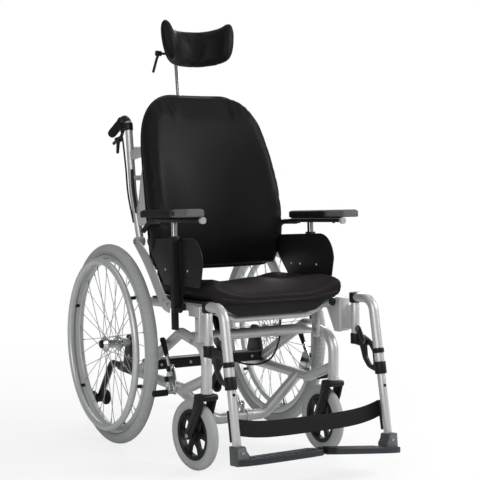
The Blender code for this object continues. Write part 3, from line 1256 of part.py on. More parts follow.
def make_headrest(back):
    slide = axis_empty("headrest_slide", (0, STEM_BACK, 0), back)
    stem = box((-STEM_HALF, -STEM_HALF, STEM_BOTTOM), (STEM_HALF, STEM_HALF, STEM_TOP))
    arm = box((-STEM_HALF, HEAD_ARM_FRONT - STEM_BACK, STEM_TOP - 0.012),
              (STEM_HALF, STEM_HALF, STEM_TOP))
    barrel = rod((-0.014, HEAD_ARM_FRONT - STEM_BACK, STEM_TOP - 0.006),
                 (0.014, HEAD_ARM_FRONT - STEM_BACK, STEM_TOP - 0.006), 0.010, 10)
    stem = fuse(stem, arm, barrel)
    stem = cut(stem, rod((-0.03, HEAD_ARM_FRONT - STEM_BACK, STEM_TOP - 0.006),
                         (0.03, HEAD_ARM_FRONT - STEM_BACK, STEM_TOP - 0.006),
                         hole_radius(0.004, RUN_GAP, 10), 10))
    place(stem, "headrest_stem", slide, "chrome")

    tilt = axis_empty("headrest_tilt", (0, HEAD_ARM_FRONT - STEM_BACK, STEM_TOP - 0.006), slide)
    lift = HEAD_PAD_LIFT + 0.003 - (STEM_TOP - 0.006)
    pad = softened(head_pad_cage())
    pad.data.transform(Matrix.Translation((0, -0.018, lift)))
    ears = [box((x - 0.003, -0.030, -0.009), (x + 0.003, 0.009, 0.009)) for x in (-0.0185, 0.0185)]
    pin = rod((-0.076, 0, 0), (0.020, 0, 0), 0.004, 10)
    place(fuse(pad, *ears, pin), "headrest_pad", tilt, "black_fabric")

    lever = tube(rounded_path([((-0.084, 0, 0), 0), ((-0.090, 0.006, -0.016), 0.010),
                               ((-0.103, 0.012, -0.060), 0)]), 0.0042, 6)
    knob = rod((-0.094, 0, 0), (-0.0765, 0, 0), 0.009, 10)
    place(fuse(knob, lever), "headrest_clamp_lever", tilt, "black_plastic")


def spring_pair(foot, head, offset, rod_share, engaged):
    """A gas spring between two pins in one Y-Z plane: the rod from the foot slides in the body."""
    foot = Vector((offset, *foot))
    head = Vector((offset, *head))
    along = (head - foot).normalized()
    length = (head - foot).length
    split = foot + along * length * rod_share
    eye_bore = hole_radius(0.004, RUN_GAP, 8)
    rod_eye = rod(foot - Vector((0.006, 0, 0)), foot + Vector((0.006, 0, 0)), 0.0085, 10)
    shaft = fuse(rod(foot, split + along * engaged, SPRING_ROD, 10), rod_eye)
    shaft = cut(shaft, rod(foot - Vector((0.02, 0, 0)), foot + Vector((0.02, 0, 0)), eye_bore, 8))
    barrel = rod(split, head - along * 0.018, SPRING_BODY, 10)
    neck = rod(head - along * 0.020, head, 0.006, 8)
    body_eye = rod(head - Vector((0.007, 0, 0)), head + Vector((0.007, 0, 0)), 0.0085, 10)
    barrel = fuse(barrel, neck, body_eye)
    bore = rod(split - along * 0.01, split + along * (length * (1 - rod_share) - 0.026),
               hole_radius(SPRING_ROD, SEAT_GAP, 10), 10)
    barrel = cut(barrel, bore, rod(head - Vector((0.02, 0, 0)), head + Vector((0.02, 0, 0)),
                                   eye_bore, 8))
    return shaft, barrel


def moved(item, origin):
    item.data.transform(Matrix.Translation(-Vector(origin)))
    return item


def make_tilt_spring(chair):
    shaft, barrel = spring_pair(TILT_SPRING_FOOT, TILT_SPRING_HEAD, 0.0,
                                TILT_SPRING_ROD_SHARE, TILT_ROD_ENGAGED)
    origin = Vector((0, *TILT_SPRING_FOOT))
    swing = axis_empty("tilt_spring_swing", origin, chair)
    place(moved(shaft, origin), "tilt_spring_rod", swing, "chrome")
    place(moved(barrel, origin), "tilt_spring_body", swing, "black_plastic")


def back_point(point):
    """A point in the backrest's axes, given in the seat unit's axes."""
    y, z = point
    return (RECLINE_BACK + y * math.cos(BACK_ANGLE) + z * math.sin(BACK_ANGLE),
            RECLINE_LIFT - y * math.sin(BACK_ANGLE) + z * math.cos(BACK_ANGLE))


def make_recline_spring(seat):
    shaft, barrel = spring_pair(back_point(RECLINE_HEAD), RECLINE_FOOT, RECLINE_SPRING_OFFSET,
                                RECLINE_ROD_SHARE, RECLINE_ROD_ENGAGED)
    origin = Vector((RECLINE_SPRING_OFFSET, *RECLINE_FOOT))
    swing = axis_empty("recline_spring_swing", origin, seat)
    place(moved(shaft, origin), "recline_spring_rod", swing, "chrome")
    place(moved(barrel, origin), "recline_spring_body", swing, "black_plastic")


def make_legrest(side, seat):
    sign = SIDES[side]
    swing = axis_empty(f"legrest_swing_{side}", (sign * SWING_OFFSET, SWING_BACK, 0), seat)
    down = Vector((0, -math.sin(SHIN_ANGLE), -math.cos(SHIN_ANGLE)))
    knee = Vector((0, LEG_KNEE_FRONT, LEG_KNEE_LIFT))
    cap_low = SWING_POST_TOP + SEAT_GAP
    collar_start = knee + down * COLLAR_DISTANCE
    collar_end = collar_start + down * COLLAR_LENGTH
    upper = tube(rounded_path([((0, 0.004, LEG_KNEE_LIFT), 0), (knee, 0.042),
                               (collar_end - down * 0.004, 0)]), LEG_TUBE)
    cap = rod((0, 0, cap_low), (0, 0, cap_low + LEG_CAP_HEIGHT), LEG_CAP_RADIUS, 12)
    pin = rod((0, 0, cap_low - SWING_PIN_LENGTH), (0, 0, cap_low + 0.002), SWING_PIN_RADIUS, 10)
    collar = rod(collar_start, collar_end, COLLAR_RADIUS, 12)
    lug_top = SWING_POST_BOTTOM - SEAT_GAP
    lug = rod((0, 0, lug_top - 0.030), (0, 0, lug_top), 0.0150, 10)
    brace = plate(rounded_outline([(0.008, lug_top - 0.002, 0.003), (0.010, -0.029, 0.004),
                                   (-0.026, -0.032, 0.006), (-0.040, -0.068, 0.030),
                                   (-0.062, -0.090, 0.030),
                                   (collar_end.y + 0.004, collar_end.z + 0.004, 0.004),
                                   (collar_start.y, collar_start.z - 0.002, 0.004),
                                   (-0.062, -0.009, 0.020), (-0.040, lug_top - 0.002, 0.010)],
                                  math.radians(40)), 0, 0.014)
    paddle_y = -0.056
    paddle_z = -0.018
    inner = -sign
    paddle_pin = rod((inner * 0.005, paddle_y, paddle_z), (inner * 0.0155, paddle_y, paddle_z),
                     0.003, 8)
    body = fuse(upper, cap, pin, collar, lug, brace, paddle_pin)
    window = plate(rounded_outline([(-0.054, -0.038, 0.005), (-0.060, -0.064, 0.016),
                                    (-0.076, -0.080, 0.006), (-0.083, -0.070, 0.008),
                                    (-0.078, -0.050, 0.014)], math.radians(50)), 0, 0.03)
    foot_start = knee + down * (FOOT_TUBE_END[side] - FOOT_TUBE_LENGTH)
    bore = tube([foot_start - down * FOOT_SLIDE, collar_end + down * 0.02], FOOT_TUBE + SEAT_GAP)
    body = cut(body, window, bore)
    place(body, f"legrest_{side}", swing, "silver")

    paddle_axis = axis_empty(f"legrest_release_axis_{side}", (0, paddle_y, paddle_z), swing)
    paddle_x = inner * (0.007 + SEAT_GAP + 0.003)
    paddle = plate(rounded_outline([(-0.010, -0.004, 0.006), (0.004, -0.010, 0.006),
                                    (0.040, 0.032, 0.009), (0.024, 0.048, 0.009)]), paddle_x, 0.006)
    paddle = cut(paddle, rod((paddle_x - 0.01, 0, 0), (paddle_x + 0.01, 0, 0),
                             hole_radius(0.003, RUN_GAP, 8), 8))
    place(paddle, f"legrest_release_{side}", paddle_axis, "dark_plastic")
    slide = axis_empty(f"footrest_slide_{side}", foot_start, swing, (-SHIN_ANGLE, 0, 0))
    make_footrest(side, slide)
    strap_start = knee + down * (FOOT_TUBE_END[side] - STRAP_LIFT)
    return swing.location + strap_start


def make_footrest(side, slide):
    """The sliding tube with its hinge block, and the plate that folds up beside it."""
    inner = -SIDES[side]
    lower = tube([Vector((0, 0, 0)), Vector((0, 0, -FOOT_TUBE_LENGTH - 0.012))], FOOT_TUBE)
    anchor_low = 0.012 - FOOT_TUBE_LENGTH
    anchor = box((-0.011, FOOT_TUBE - 0.002, anchor_low),
                 (0.011, FOOT_TUBE + STRAP_PLATE_DEPTH, anchor_low + STRAP_PLATE_LENGTH))
    block_outline = [(FOOT_BLOCK_OUTER, 0.002), (FOOT_BLOCK_TOP_INNER, 0.002),
                     (FOOT_BLOCK_TOP_INNER + 0.003, -0.010), (FOOT_BLOCK_INNER, -0.024),
                     (FOOT_BLOCK_INNER, FOOT_BLOCK_BOTTOM), (FOOT_BLOCK_OUTER, FOOT_BLOCK_BOTTOM)]
    block = prism([(inner * x, FOOT_BLOCK_FRONT, z) for x, z in block_outline],
                  (0, FOOT_BLOCK_REAR - FOOT_BLOCK_FRONT, 0))
    hinge = Vector((inner * FOOTPLATE_HINGE, 0, FOOTPLATE_HINGE_DROP))
    front, rear = FOOTPLATE_KNUCKLE
    supports = []
    for ear_front, ear_rear in ((FOOT_BLOCK_FRONT + 0.001, front - 0.0005),
                                (rear + 0.0005, FOOT_BLOCK_REAR - 0.001)):
        supports.append(box((inner * (FOOT_BLOCK_INNER - 0.002), ear_front, hinge.z - 0.0055),
                            (hinge.x - inner * 0.001, ear_rear, hinge.z + 0.0055)))
        supports.append(rod((hinge.x, ear_front + 0.0003, hinge.z), (hinge.x, ear_rear - 0.0003, hinge.z),
                            0.0065, 8))
    supports.append(rod((hinge.x, front - 0.004, hinge.z), (hinge.x, rear + 0.004, hinge.z),
                        FOOTPLATE_HINGE_PIN, 8))
    block = fuse(block, *supports)
    turn = SHIN_ANGLE - FOOTPLATE_PITCH
    level = Matrix.Translation((0, 0, -FOOT_TUBE_LENGTH)) @ Matrix.Rotation(turn, 4, "X")
    block.data.transform(level)
    place(fuse(lower, block, anchor), f"footrest_tube_{side}", slide, "silver")

    flip = axis_empty(f"footplate_axis_{side}", level @ hinge, slide, (turn, 0, 0))
    flat = prism([(inner * (x - FOOTPLATE_HINGE), y, -FOOTPLATE_THICKNESS / 2)
                  for x, y in FOOTPLATE_OUTLINE], (0, 0, FOOTPLATE_THICKNESS))
    parts = [rod((0, front + 0.0002, 0), (0, rear - 0.0002, 0), FOOTPLATE_THICKNESS / 2 - 0.0004, 10)]
    if side == "left":
        end = inner * (max(x for x, _ in FOOTPLATE_OUTLINE) - FOOTPLATE_HINGE)
        parts.append(box((end, CATCH_BACK[0], -0.005), (end - inner * CATCH_LENGTH, CATCH_BACK[1], 0.012)))
    footplate = fuse(flat, *parts)
    footplate = cut(footplate, rod((0, front - 0.010, 0), (0, rear + 0.010, 0),
                                   hole_radius(FOOTPLATE_HINGE_PIN, RUN_GAP, 8), 8))
    place(footplate, f"footplate_{side}", flip, "dark_plastic")
    footplate.rotation_euler = (0, FOOTPLATE_RAISE[side], 0)


def make_calf_strap(seat, ends):
    """Webbing behind the calves, from one anchor plate to the other, hanging a little slack."""
    down = Vector((0, -math.sin(SHIN_ANGLE), -math.cos(SHIN_ANGLE)))
    across = Vector((0, math.cos(SHIN_ANGLE), -math.sin(SHIN_ANGLE)))
    back = across * (FOOT_TUBE + STRAP_PLATE_DEPTH + SEAT_GAP + STRAP_THICKNESS / 2)
    middle = (ends["right"] + ends["left"]) / 2 + back
    reach = (ends["left"] - ends["right"]) / 2 * (1 - 0.012 / SWING_OFFSET)
    shape = bmesh.new()
    count = 10
    rings = []
    for number in range(count + 1):
        u = number / count * 2 - 1
        centre = middle + reach * u + down * (STRAP_SAG * (1 - u ** 4))
        up = -down * (STRAP_HEIGHT / 2)
        out = across * (STRAP_THICKNESS / 2)
        rings.append([shape.verts.new(centre + a * up + b * out)
                      for a, b in ((1, 1), (1, -1), (-1, -1), (-1, 1))])
    for left, right in zip(rings, rings[1:]):
        for index in range(4):
            after = (index + 1) % 4
            shape.faces.new((left[index], left[after], right[after], right[index]))
    shape.faces.new(rings[0])
    shape.faces.new(rings[-1][::-1])
    place(from_bmesh(shape), "calf_strap", seat, "black_web")


def make_cables(seat, back, lever_pivot):
    edge = -CANE_OFFSET - CANE_TUBE - CABLE_RADIUS - 0.001
    run = smooth_path([lever_pivot + Vector((-0.004, -0.012, 0.004)),
                       (edge + 0.004, 0.060, 0.375), (edge, 0.044, 0.320), (edge, 0.038, 0.230),
                       (edge, 0.034, 0.150), (edge, 0.018, 0.060)], 9)
    place(tube(run, CABLE_RADIUS, 6), "release_cable_back", back, "black_plastic")
    top = SEAT_RAIL_LIFT - 0.020
    loop = smooth_path([(0.120, 0.100, top), (0.105, 0.066, top - 0.030), (0.098, 0.060, -0.020),
                        (0.070, 0.062, -0.075), (0.020, 0.075, -0.092), (-0.030, 0.100, -0.078),
                        (-0.050, 0.150, -0.030), (-0.034, 0.220, 0.020)], 14)
    place(tube(loop, CABLE_RADIUS, 6), "release_cable_seat", seat, "black_plastic")


def build_chair():
    chair = axis_empty("chair", (0, -CENTRE_Y, 0))
    make_cross_members(chair)
    for side in SIDES:
        make_side_frame(side, chair)
        make_rear_wheel(side, chair)
        make_caster(side, chair)
        make_anti_tipper(side, chair)
        make_brake(side, chair)
    make_tilt_spring(chair)

    seat = axis_empty("seat_unit", (0, TILT_PIVOT_Y, tilt_pivot_height()), chair,
                      (-SEAT_ANGLE, 0, 0))
    make_seat_frame(seat)
    pan_top = make_seat_pan(seat)
    make_seat_cushion(seat, pan_top)
    strap_ends = {}
    for side in SIDES:
        make_arm_side(side, seat)
        strap_ends[side] = make_legrest(side, seat)
    make_calf_strap(seat, strap_ends)
    make_recline_spring(seat)

    back = axis_empty("back_unit", (0, RECLINE_BACK, RECLINE_LIFT), seat, (-BACK_ANGLE, 0, 0))
    make_back_frame(back)
    make_backrest_cushion(back)
    pivots = {side: make_handle(side, back) for side in SIDES}
    make_headrest(back)
    make_cables(seat, back, pivots["right"])


clear_scene()
ASSEMBLY = bpy.data.collections.new("positioning_wheelchair")
bpy.context.scene.collection.children.link(ASSEMBLY)
WORK = bpy.data.collections.new("tools")
bpy.context.scene.collection.children.link(WORK)
build_chair()
bpy.context.view_layer.update()
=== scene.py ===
"""Positioning wheelchair: photographed looks over the shared frame of its CAD."""

import json
import math

import bmesh
import bpy
from bmesh.types import BMEdge, BMVert
from mathutils import Matrix, Vector


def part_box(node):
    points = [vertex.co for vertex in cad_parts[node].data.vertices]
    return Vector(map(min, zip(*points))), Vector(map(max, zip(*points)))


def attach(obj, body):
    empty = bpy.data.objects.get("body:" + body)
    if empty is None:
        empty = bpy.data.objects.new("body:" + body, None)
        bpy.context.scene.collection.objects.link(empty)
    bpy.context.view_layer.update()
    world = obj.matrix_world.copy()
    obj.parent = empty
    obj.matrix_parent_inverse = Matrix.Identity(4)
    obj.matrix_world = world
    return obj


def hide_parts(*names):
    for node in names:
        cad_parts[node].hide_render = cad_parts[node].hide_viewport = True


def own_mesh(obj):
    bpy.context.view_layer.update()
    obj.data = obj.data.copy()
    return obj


bl_info = {
    "name": "Positioning wheelchair",
    "version": (1, 0, 0),
    "blender": (4, 5, 0),
    "location": "3D View > Sidebar > Wheelchair",
    "description": "Builds the wheelchair's looks piece by piece over its frame",
    "category": "Object",
}

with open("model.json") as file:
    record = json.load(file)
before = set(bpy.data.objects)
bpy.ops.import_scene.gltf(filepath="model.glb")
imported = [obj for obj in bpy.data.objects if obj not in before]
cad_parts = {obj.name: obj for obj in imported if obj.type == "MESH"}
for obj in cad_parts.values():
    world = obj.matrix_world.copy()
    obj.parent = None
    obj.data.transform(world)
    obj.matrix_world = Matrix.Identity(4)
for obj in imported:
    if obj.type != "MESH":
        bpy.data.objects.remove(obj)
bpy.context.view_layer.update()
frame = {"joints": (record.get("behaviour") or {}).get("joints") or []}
JOINTS = {joint["name"]: joint for joint in frame["joints"]}
SIDES = {"right": -1, "left": 1}
TURN = 2 * math.pi

# Sizes are in metres. These are the angles of the seat, the backrest, the legrests' tubes and
# the footplates' clamps at rest.
SEAT_ANGLE = math.radians(2.5)
BACK_ANGLE = math.radians(8.5)
SHIN_ANGLE = math.radians(9.3)
PLATE_PITCH = math.radians(4)

# CHAIR stands on the floor under the rear axles, with Y backwards and Z up. Its sizes follow.
AXLE_Y = JOINTS["wheel_spin_right"]["pos_m"][1]
CHAIR = Matrix.Translation((0, AXLE_Y, 0))
WHEEL_X = 0.285
WHEEL_RADIUS = 0.305
SIDE_X = 0.210
CASTER_Y = -0.476
CASTER_TRAIL = 0.056
CASTER_RADIUS = 0.100
BRAKE_X = 0.229


def axis_frame(joint, angle=0.0):
    """The axes of a unit that hangs on a joint, leaning back by an angle."""
    return Matrix.Translation(JOINTS[joint]["pos_m"]) @ Matrix.Rotation(-angle, 4, "X")


# SEAT and BACK are the axes of the tilting seat and of the reclining backrest, at their
# pivots. The sizes that follow are in the seat's axes, and the canes' in the backrest's.
SEAT = axis_frame("seat_tilt", SEAT_ANGLE)
BACK = axis_frame("back_recline", BACK_ANGLE)
RAIL_X = 0.195
RAIL_Z = 0.092
PAN_TOP = 0.1109
RECLINE_YZ = (0.3834, 0.2731)
HANGER_X = 0.240
HANGER_Y = -0.1295
SLEEVE_X = 0.2295
CANE_X = 0.1965
CANE_RADIUS = 0.0115
CABLE_RADIUS = 0.0028

# The gas springs, from the lower pin to the upper one.
TILT_REACH = Vector((0, 0.172, 0.275))
SPRING_FOOT = Vector((-0.110, 0.418, 0.085))
SPRING_HEAD = Vector((-0.110, 0.045, 0.200))
RECLINE_REACH = SEAT.inverted() @ BACK @ SPRING_HEAD - SPRING_FOOT

# Lays a solid that was turned about Z along Y.
REARWARD = Matrix.Rotation(-math.pi / 2, 4, "X")


def facing(y=0.0):
    """Turn a plate that lies across X to lie across Y, at a distance back."""
    return Matrix(((0, 1, 0, 0), (1, 0, 0, y), (0, 0, 1, 0), (0, 0, 0, 1)))


def rounded(corners, step=math.radians(9)):
    """Points along a bent line: each corner is a place and the radius of its bend."""
    places = [Vector(corner[0]) for corner in corners]
    path = [places[0]]
    for index in range(1, len(places) - 1):
        here = places[index]
        before = (places[index - 1] - here).normalized()
        after = (places[index + 1] - here).normalized()
        bend = math.pi - before.angle(after)
        radius = corners[index][1]
        if radius <= 0 or bend < 0.02:
            path.append(here)
            continue
        room = min((places[index - 1] - here).length, (places[index + 1] - here).length)
        reach = min(radius * math.tan(bend / 2), 0.96 * room)
        radius = reach / math.tan(bend / 2)
        centre = here + (before + after).normalized() * (radius / math.cos(bend / 2))
        first = here + before * reach - centre
        axis = first.cross(here + after * reach - centre).normalized()
        count = max(3, math.ceil(bend / step))
        for number in range(count + 1):
            path.append(centre + Matrix.Rotation(bend * number / count, 3, axis) @ first)
    path.append(places[-1])
    return path


def outline(corners):
    """A closed outline of (y, z) points from corners given as (y, z, radius)."""
    made = []
    for index, (y, z, radius) in enumerate(corners):
        here = Vector((y, z, 0))
        before = Vector((*corners[index - 1][:2], 0))
        after = Vector((*corners[(index + 1) % len(corners)][:2], 0))
        bend = rounded([((here + before) / 2, 0), (here, radius), ((here + after) / 2, 0)],
                       math.radians(15))
        made.extend((place.x, place.y) for place in bend[1:-1])
    return made


def smooth(knots, count):
    """Points along a smooth curve through chosen knots."""
    knots = [Vector(knot) for knot in knots]
    padded = [2 * knots[0] - knots[1], *knots, 2 * knots[-1] - knots[-2]]
    path = []
    for number in range(count + 1):
        place = min(number / count * (len(knots) - 1), len(knots) - 1 - 1e-9)
        index = int(place)
        t = place - index
        a, b, c, d = padded[index:index + 4]
        path.append(0.5 * ((2 * b) + (c - a) * t + (2 * a - 5 * b + 4 * c - d) * t * t
                           + (3 * b - a - 3 * c + d) * t ** 3))
    return path


def both_ways(points):
    """Points with their mirror image behind them, for a turned profile or an outline."""
    return points + [(first, -second, *rest) for first, second, *rest in reversed(points)]


def only(made, kind):
    """What an operator made of one kind, such as vertices."""
    return [item for item in made if isinstance(item, kind)]


def draw_out(part, edges, step):
    """Extrude edges by a step: the new vertices and the new edges."""
    made = bmesh.ops.extrude_edge_only(part, edges=edges)["geom"]
    verts = only(made, BMVert)
    bmesh.ops.translate(part, verts=verts, vec=step)
    return verts, only(made, BMEdge)


def link_object(name, part):
    """Turn a finished bmesh into an object of the scene."""
    mesh = bpy.data.meshes.new(name)
    part.to_mesh(mesh)
    part.free()
    item = bpy.data.objects.new(name, mesh)
    bpy.context.scene.collection.objects.link(item)
    return item


class Shape:
    """A piece in the making: each call adds one more solid in the unit's own axes.

    Where sign is -1, what is added is mirrored across X; paint numbers its finish.
    """

    def __init__(self, axes=CHAIR, sign=1):
        self.axes = axes
        self.sign = sign
        self.whole = bmesh.new()
        self.paint = 0

    def add(self, part, move=Matrix()):
        """Take in a solid, moved within the unit."""
        bmesh.ops.remove_doubles(part, verts=part.verts, dist=0.000001)
        for face in part.faces:
            face.material_index = self.paint
        part.transform(self.axes @ Matrix.Scale(self.sign, 4, (1, 0, 0)) @ move)
        part.normal_update()
        bmesh.ops.recalc_face_normals(part, faces=part.faces)
        mesh = bpy.data.meshes.new("part")
        part.to_mesh(mesh)
        part.free()
        self.whole.from_mesh(mesh)
        bpy.data.meshes.remove(mesh)

    def soften(self, part, width, segments=2, angle=0.6):
        """Round the sharp edges of a part."""
        if width <= 0:
            return
        edges = [edge for edge in part.edges
                 if len(edge.link_faces) == 2 and edge.calc_face_angle() > angle]
        bmesh.ops.bevel(part, geom=edges, offset=width, offset_type="OFFSET",
                        segments=segments, profile=0.5, affect="EDGES", material=-1,
                        clamp_overlap=True)

    def block(self, corner, other, bevel=0.0012, segments=2):
        """A box between two opposite corners."""
        part = bmesh.new()
        bmesh.ops.create_cube(part, size=1)
        corner = Vector(corner)
        other = Vector(other)
        bmesh.ops.scale(part, verts=part.verts, vec=[abs(v) for v in other - corner])
        self.soften(part, bevel, segments)
        bmesh.ops.translate(part, verts=part.verts, vec=(corner + other) / 2)
        self.add(part)

    def rod(self, start, end, radius, end_radius=None, sides=28, bevel=0.0006):
        """A round bar between two places, tapered where end_radius differs."""
        start = Vector(start)
        end = Vector(end)
        part = bmesh.new()
        bmesh.ops.create_cone(part, cap_ends=True, segments=sides, radius1=radius,
                              radius2=radius if end_radius is None else end_radius,
                              depth=(end - start).length)
        self.soften(part, bevel, 2, 0.9)
        turn = (end - start).to_track_quat("Z", "Y").to_matrix()
        bmesh.ops.rotate(part, verts=part.verts, cent=(0, 0, 0), matrix=turn)
        bmesh.ops.translate(part, verts=part.verts, vec=(start + end) / 2)
        self.add(part)

    def pin(self, ends, place, radius, end_radius=None, sides=28, bevel=0.0006):
        """A bar along X from one end to the other, at a (y, z) place."""
        self.rod((ends[0], *place), (ends[1], *place), radius, end_radius, sides, bevel)

    def tube(self, path, radius, sides=24):
        """A closed round tube along a line."""
        path = [Vector(point) for point in path]
        part = bmesh.new()
        ring = bmesh.ops.create_circle(part, radius=radius, segments=sides)["verts"]
        along = (path[1] - path[0]).normalized()
        bmesh.ops.rotate(part, verts=ring, cent=(0, 0, 0),
                         matrix=along.to_track_quat("Z", "Y").to_matrix())
        bmesh.ops.translate(part, verts=ring, vec=path[0])
        edges = part.edges[:]
        for index in range(1, len(path)):
            ring, edges = draw_out(part, edges, path[index] - path[index - 1])
            ahead = path[min(index + 1, len(path) - 1)]
            onward = (ahead - path[index - 1]).normalized()
            bmesh.ops.rotate(part, verts=ring, cent=path[index],
                             matrix=along.rotation_difference(onward).to_matrix())
            along = onward
        bmesh.ops.holes_fill(part, edges=part.edges[:], sides=0)
        self.add(part)

    def plate(self, points, x, thickness, bevel=0.0008, segments=2, move=Matrix()):
        """A flat plate across X from an outline of (y, z) points."""
        part = bmesh.new()
        part.faces.new([part.verts.new((x - thickness / 2, y, z)) for y, z in points])
        self.thicken(part, thickness, bevel, segments, move)

    def pierced_plate(self, outer, hole, thickness):
        """A flat casting across X with a hole, from two outlines of (y, z) points."""
        part = bmesh.new()
        loops = []
        for points in (outer, hole):
            verts = [part.verts.new((-thickness / 2, y, z)) for y, z in points]
            loops += [part.edges.new((verts[k], verts[(k + 1) % len(verts)]))
                      for k in range(len(verts))]
        bmesh.ops.triangle_fill(part, edges=loops, use_beauty=True, use_dissolve=False)
        self.thicken(part, thickness, 0.0018)

    def thicken(self, part, thickness, bevel, segments=2, move=Matrix()):
        """Give flat faces a thickness along X and soft edges, and add them."""
        raised = bmesh.ops.extrude_face_region(part, geom=part.faces[:])["geom"]
        bmesh.ops.translate(part, verts=only(raised, BMVert), vec=(thickness, 0, 0))
        bmesh.ops.recalc_face_normals(part, faces=part.faces)
        self.soften(part, bevel, segments, 1.2)
        self.add(part, move)

    def turned(self, profile, centre=(0, 0, 0), steps=64, axis="X", move=Matrix()):
        """A turned solid from a closed line of (radius, distance along the axis) points."""
        part = bmesh.new()
        verts = [part.verts.new((0, radius, along) if axis == "Z" else (along, radius, 0))
                 for radius, along in profile]
        for pair in zip(verts, verts[1:] + verts[:1]):
            part.edges.new(pair)
        bmesh.ops.spin(part, geom=part.verts[:] + part.edges[:], cent=(0, 0, 0),
                       axis=(0, 0, 1) if axis == "Z" else (1, 0, 0), dvec=(0, 0, 0),
                       angle=TURN, steps=steps, use_merge=True, use_duplicate=False)
        bmesh.ops.translate(part, verts=part.verts, vec=centre)
        self.add(part, move)

    def ball(self, centre, radius, scale=(1, 1, 1)):
        """A ball, or an ellipsoid where the scale is uneven."""
        part = bmesh.new()
        bmesh.ops.create_uvsphere(part, u_segments=24, v_segments=14, radius=radius)
        bmesh.ops.scale(part, verts=part.verts, vec=scale)
        bmesh.ops.translate(part, verts=part.verts, vec=centre)
        self.add(part)

    def finish(self, name, body, nodes, slot, *paints, angle=32):
        """Make the piece an object that rides on its body and stands for its CAD nodes."""
        item = link_object(name, self.whole)
        for paint in paints:
            item.data.materials.append(PAINT[paint])
        item.data.shade_smooth()
        item.data.set_sharp_from_angle(angle=math.radians(angle))
        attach(item, body)
        if nodes:
            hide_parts(*nodes)
        return item


class Socket:
    """A node's output that takes its place in Python sums."""

    def __init__(self, nodes, link):
        self.nodes = nodes
        self.link = link

    def sum(self, operation, other, swapped=False):
        ends = [other, self] if swapped else [self, other]
        return self.nodes.node("ShaderNodeMath", {"operation": operation}, dict(enumerate(ends)))

    def __add__(self, other):
        return self.sum("ADD", other)

    def __radd__(self, other):
        return self.sum("ADD", other, True)

    def __sub__(self, other):
        return self.sum("SUBTRACT", other)

    def __rsub__(self, other):
        return self.sum("SUBTRACT", other, True)

    def __mul__(self, other):
        return self.sum("MULTIPLY", other)

    def __rmul__(self, other):
        return self.sum("MULTIPLY", other, True)

    def __pow__(self, other):
        return self.sum("POWER", other)


class Nodes:
    """The node tree of a material or a world."""

    def __init__(self, owner):
        owner.use_nodes = True
        self.tree = owner.node_tree

    def node(self, kind, settings=None, inputs=None, output=0):
        """Add a node: its settings first, then the values or links of its sockets."""
        made = self.tree.nodes.new(kind)
        for key, value in (settings or {}).items():
            if key == "stops":
                ramp = made.color_ramp.elements
                while len(ramp) < len(value):
                    ramp.new(0.5)
                for element, (position, colour) in zip(ramp, value):
                    element.position = position
                    element.color = (*colour, 1)
            else:
                setattr(made, key, value)
        for key, value in (inputs or {}).items():
            if isinstance(value, Socket):
                self.tree.links.new(value.link, made.inputs[key])
            elif isinstance(value, tuple) and len(value) == 3 and made.inputs[key].type == "RGBA":
                made.inputs[key].default_value = (*value, 1)
            else:
                made.inputs[key].default_value = value
        return Socket(self, made.outputs[output])


class Finish(Nodes):
    """One material: constants stand on its shader, and nodes vary the rest."""

    def __init__(self, name, **constants):
        self.material = bpy.data.materials.new(name)
        super().__init__(self.material)
        self.shader = self.tree.nodes["Principled BSDF"]
        for socket, value in constants.items():
            self.shader.inputs[socket.replace("_", " ")].default_value = value
        self.place = self.node("ShaderNodeTexCoord", output="Object")

    def noise(self, scale, detail=2.0, rough=0.5, place=None):
        """Cloudy noise, from 0 to 1 about 0.5."""
        return self.node("ShaderNodeTexNoise", None,
                         {"Vector": place or self.place, "Scale": scale, "Detail": detail,
                          "Roughness": rough})

    def step(self, value, low, high):
        """0 below low and 1 above high, smoothly between."""
        return self.node("ShaderNodeMapRange", {"interpolation_type": "SMOOTHSTEP"},
                         {"Value": value, "From Min": low, "From Max": high})

    def stretched(self, scale):
        """The place, scaled differently along each axis."""
        return self.node("ShaderNodeMapping", None, {"Vector": self.place, "Scale": scale})

    def axis(self, letter):
        return self.node("ShaderNodeSeparateXYZ", None, {"Vector": self.place}, letter)

    def mix(self, factor, first, second):
        """A colour between two others."""
        return self.node("ShaderNodeMix", {"data_type": "RGBA"},
                         {0: factor, 6: first, 7: second}, 2)

    def bump(self, height, distance, strength=1.0):
        normal = self.node("ShaderNodeBump", None,
                           {"Strength": strength, "Distance": distance, "Height": height})
        self.set(Normal=normal)

    def set(self, **sockets):
        """Link values to the shader's sockets, and return the material."""
        for name, value in sockets.items():
            self.tree.links.new(value.link, self.shader.inputs[name.replace("_", " ")])
        return self.material


def shade(colour, amount):
    return tuple(value * amount for value in colour)


def lacquered_metal(name, colour, rough=0.42, metallic=0.6):
    """Satin tube: a faint cloudiness, orange peel and handling marks."""
    f = Finish(name, Metallic=metallic, Specular_IOR_Level=0.3)
    cloud = f.noise(22, 3)
    peel = f.noise(700, 2)
    rub = f.step(f.noise(60, 4, 0.7), 0.56, 0.72)
    f.bump(peel, 0.00012, 0.35)
    f.set(Roughness=rough + (cloud - 0.5) * 0.14 + rub * 0.07)
    return f.set(Base_Color=f.mix(cloud * 0.5 + rub * 0.25, colour, shade(colour, 0.80)))


def plated_metal(name, colour, rough=0.12):
    """Bright or polished metal: a faint cloudiness and smears along its length."""
    f = Finish(name, Metallic=1.0)
    cloud = f.noise(30, 3)
    smear = f.noise(400, 2, place=f.stretched((1, 1, 0.08)))
    f.bump(smear, 0.00006, 0.3)
    f.set(Roughness=rough + (cloud - 0.5) * 0.10)
    return f.set(Base_Color=f.mix(cloud * 0.6, colour, shade(colour, 0.84)))


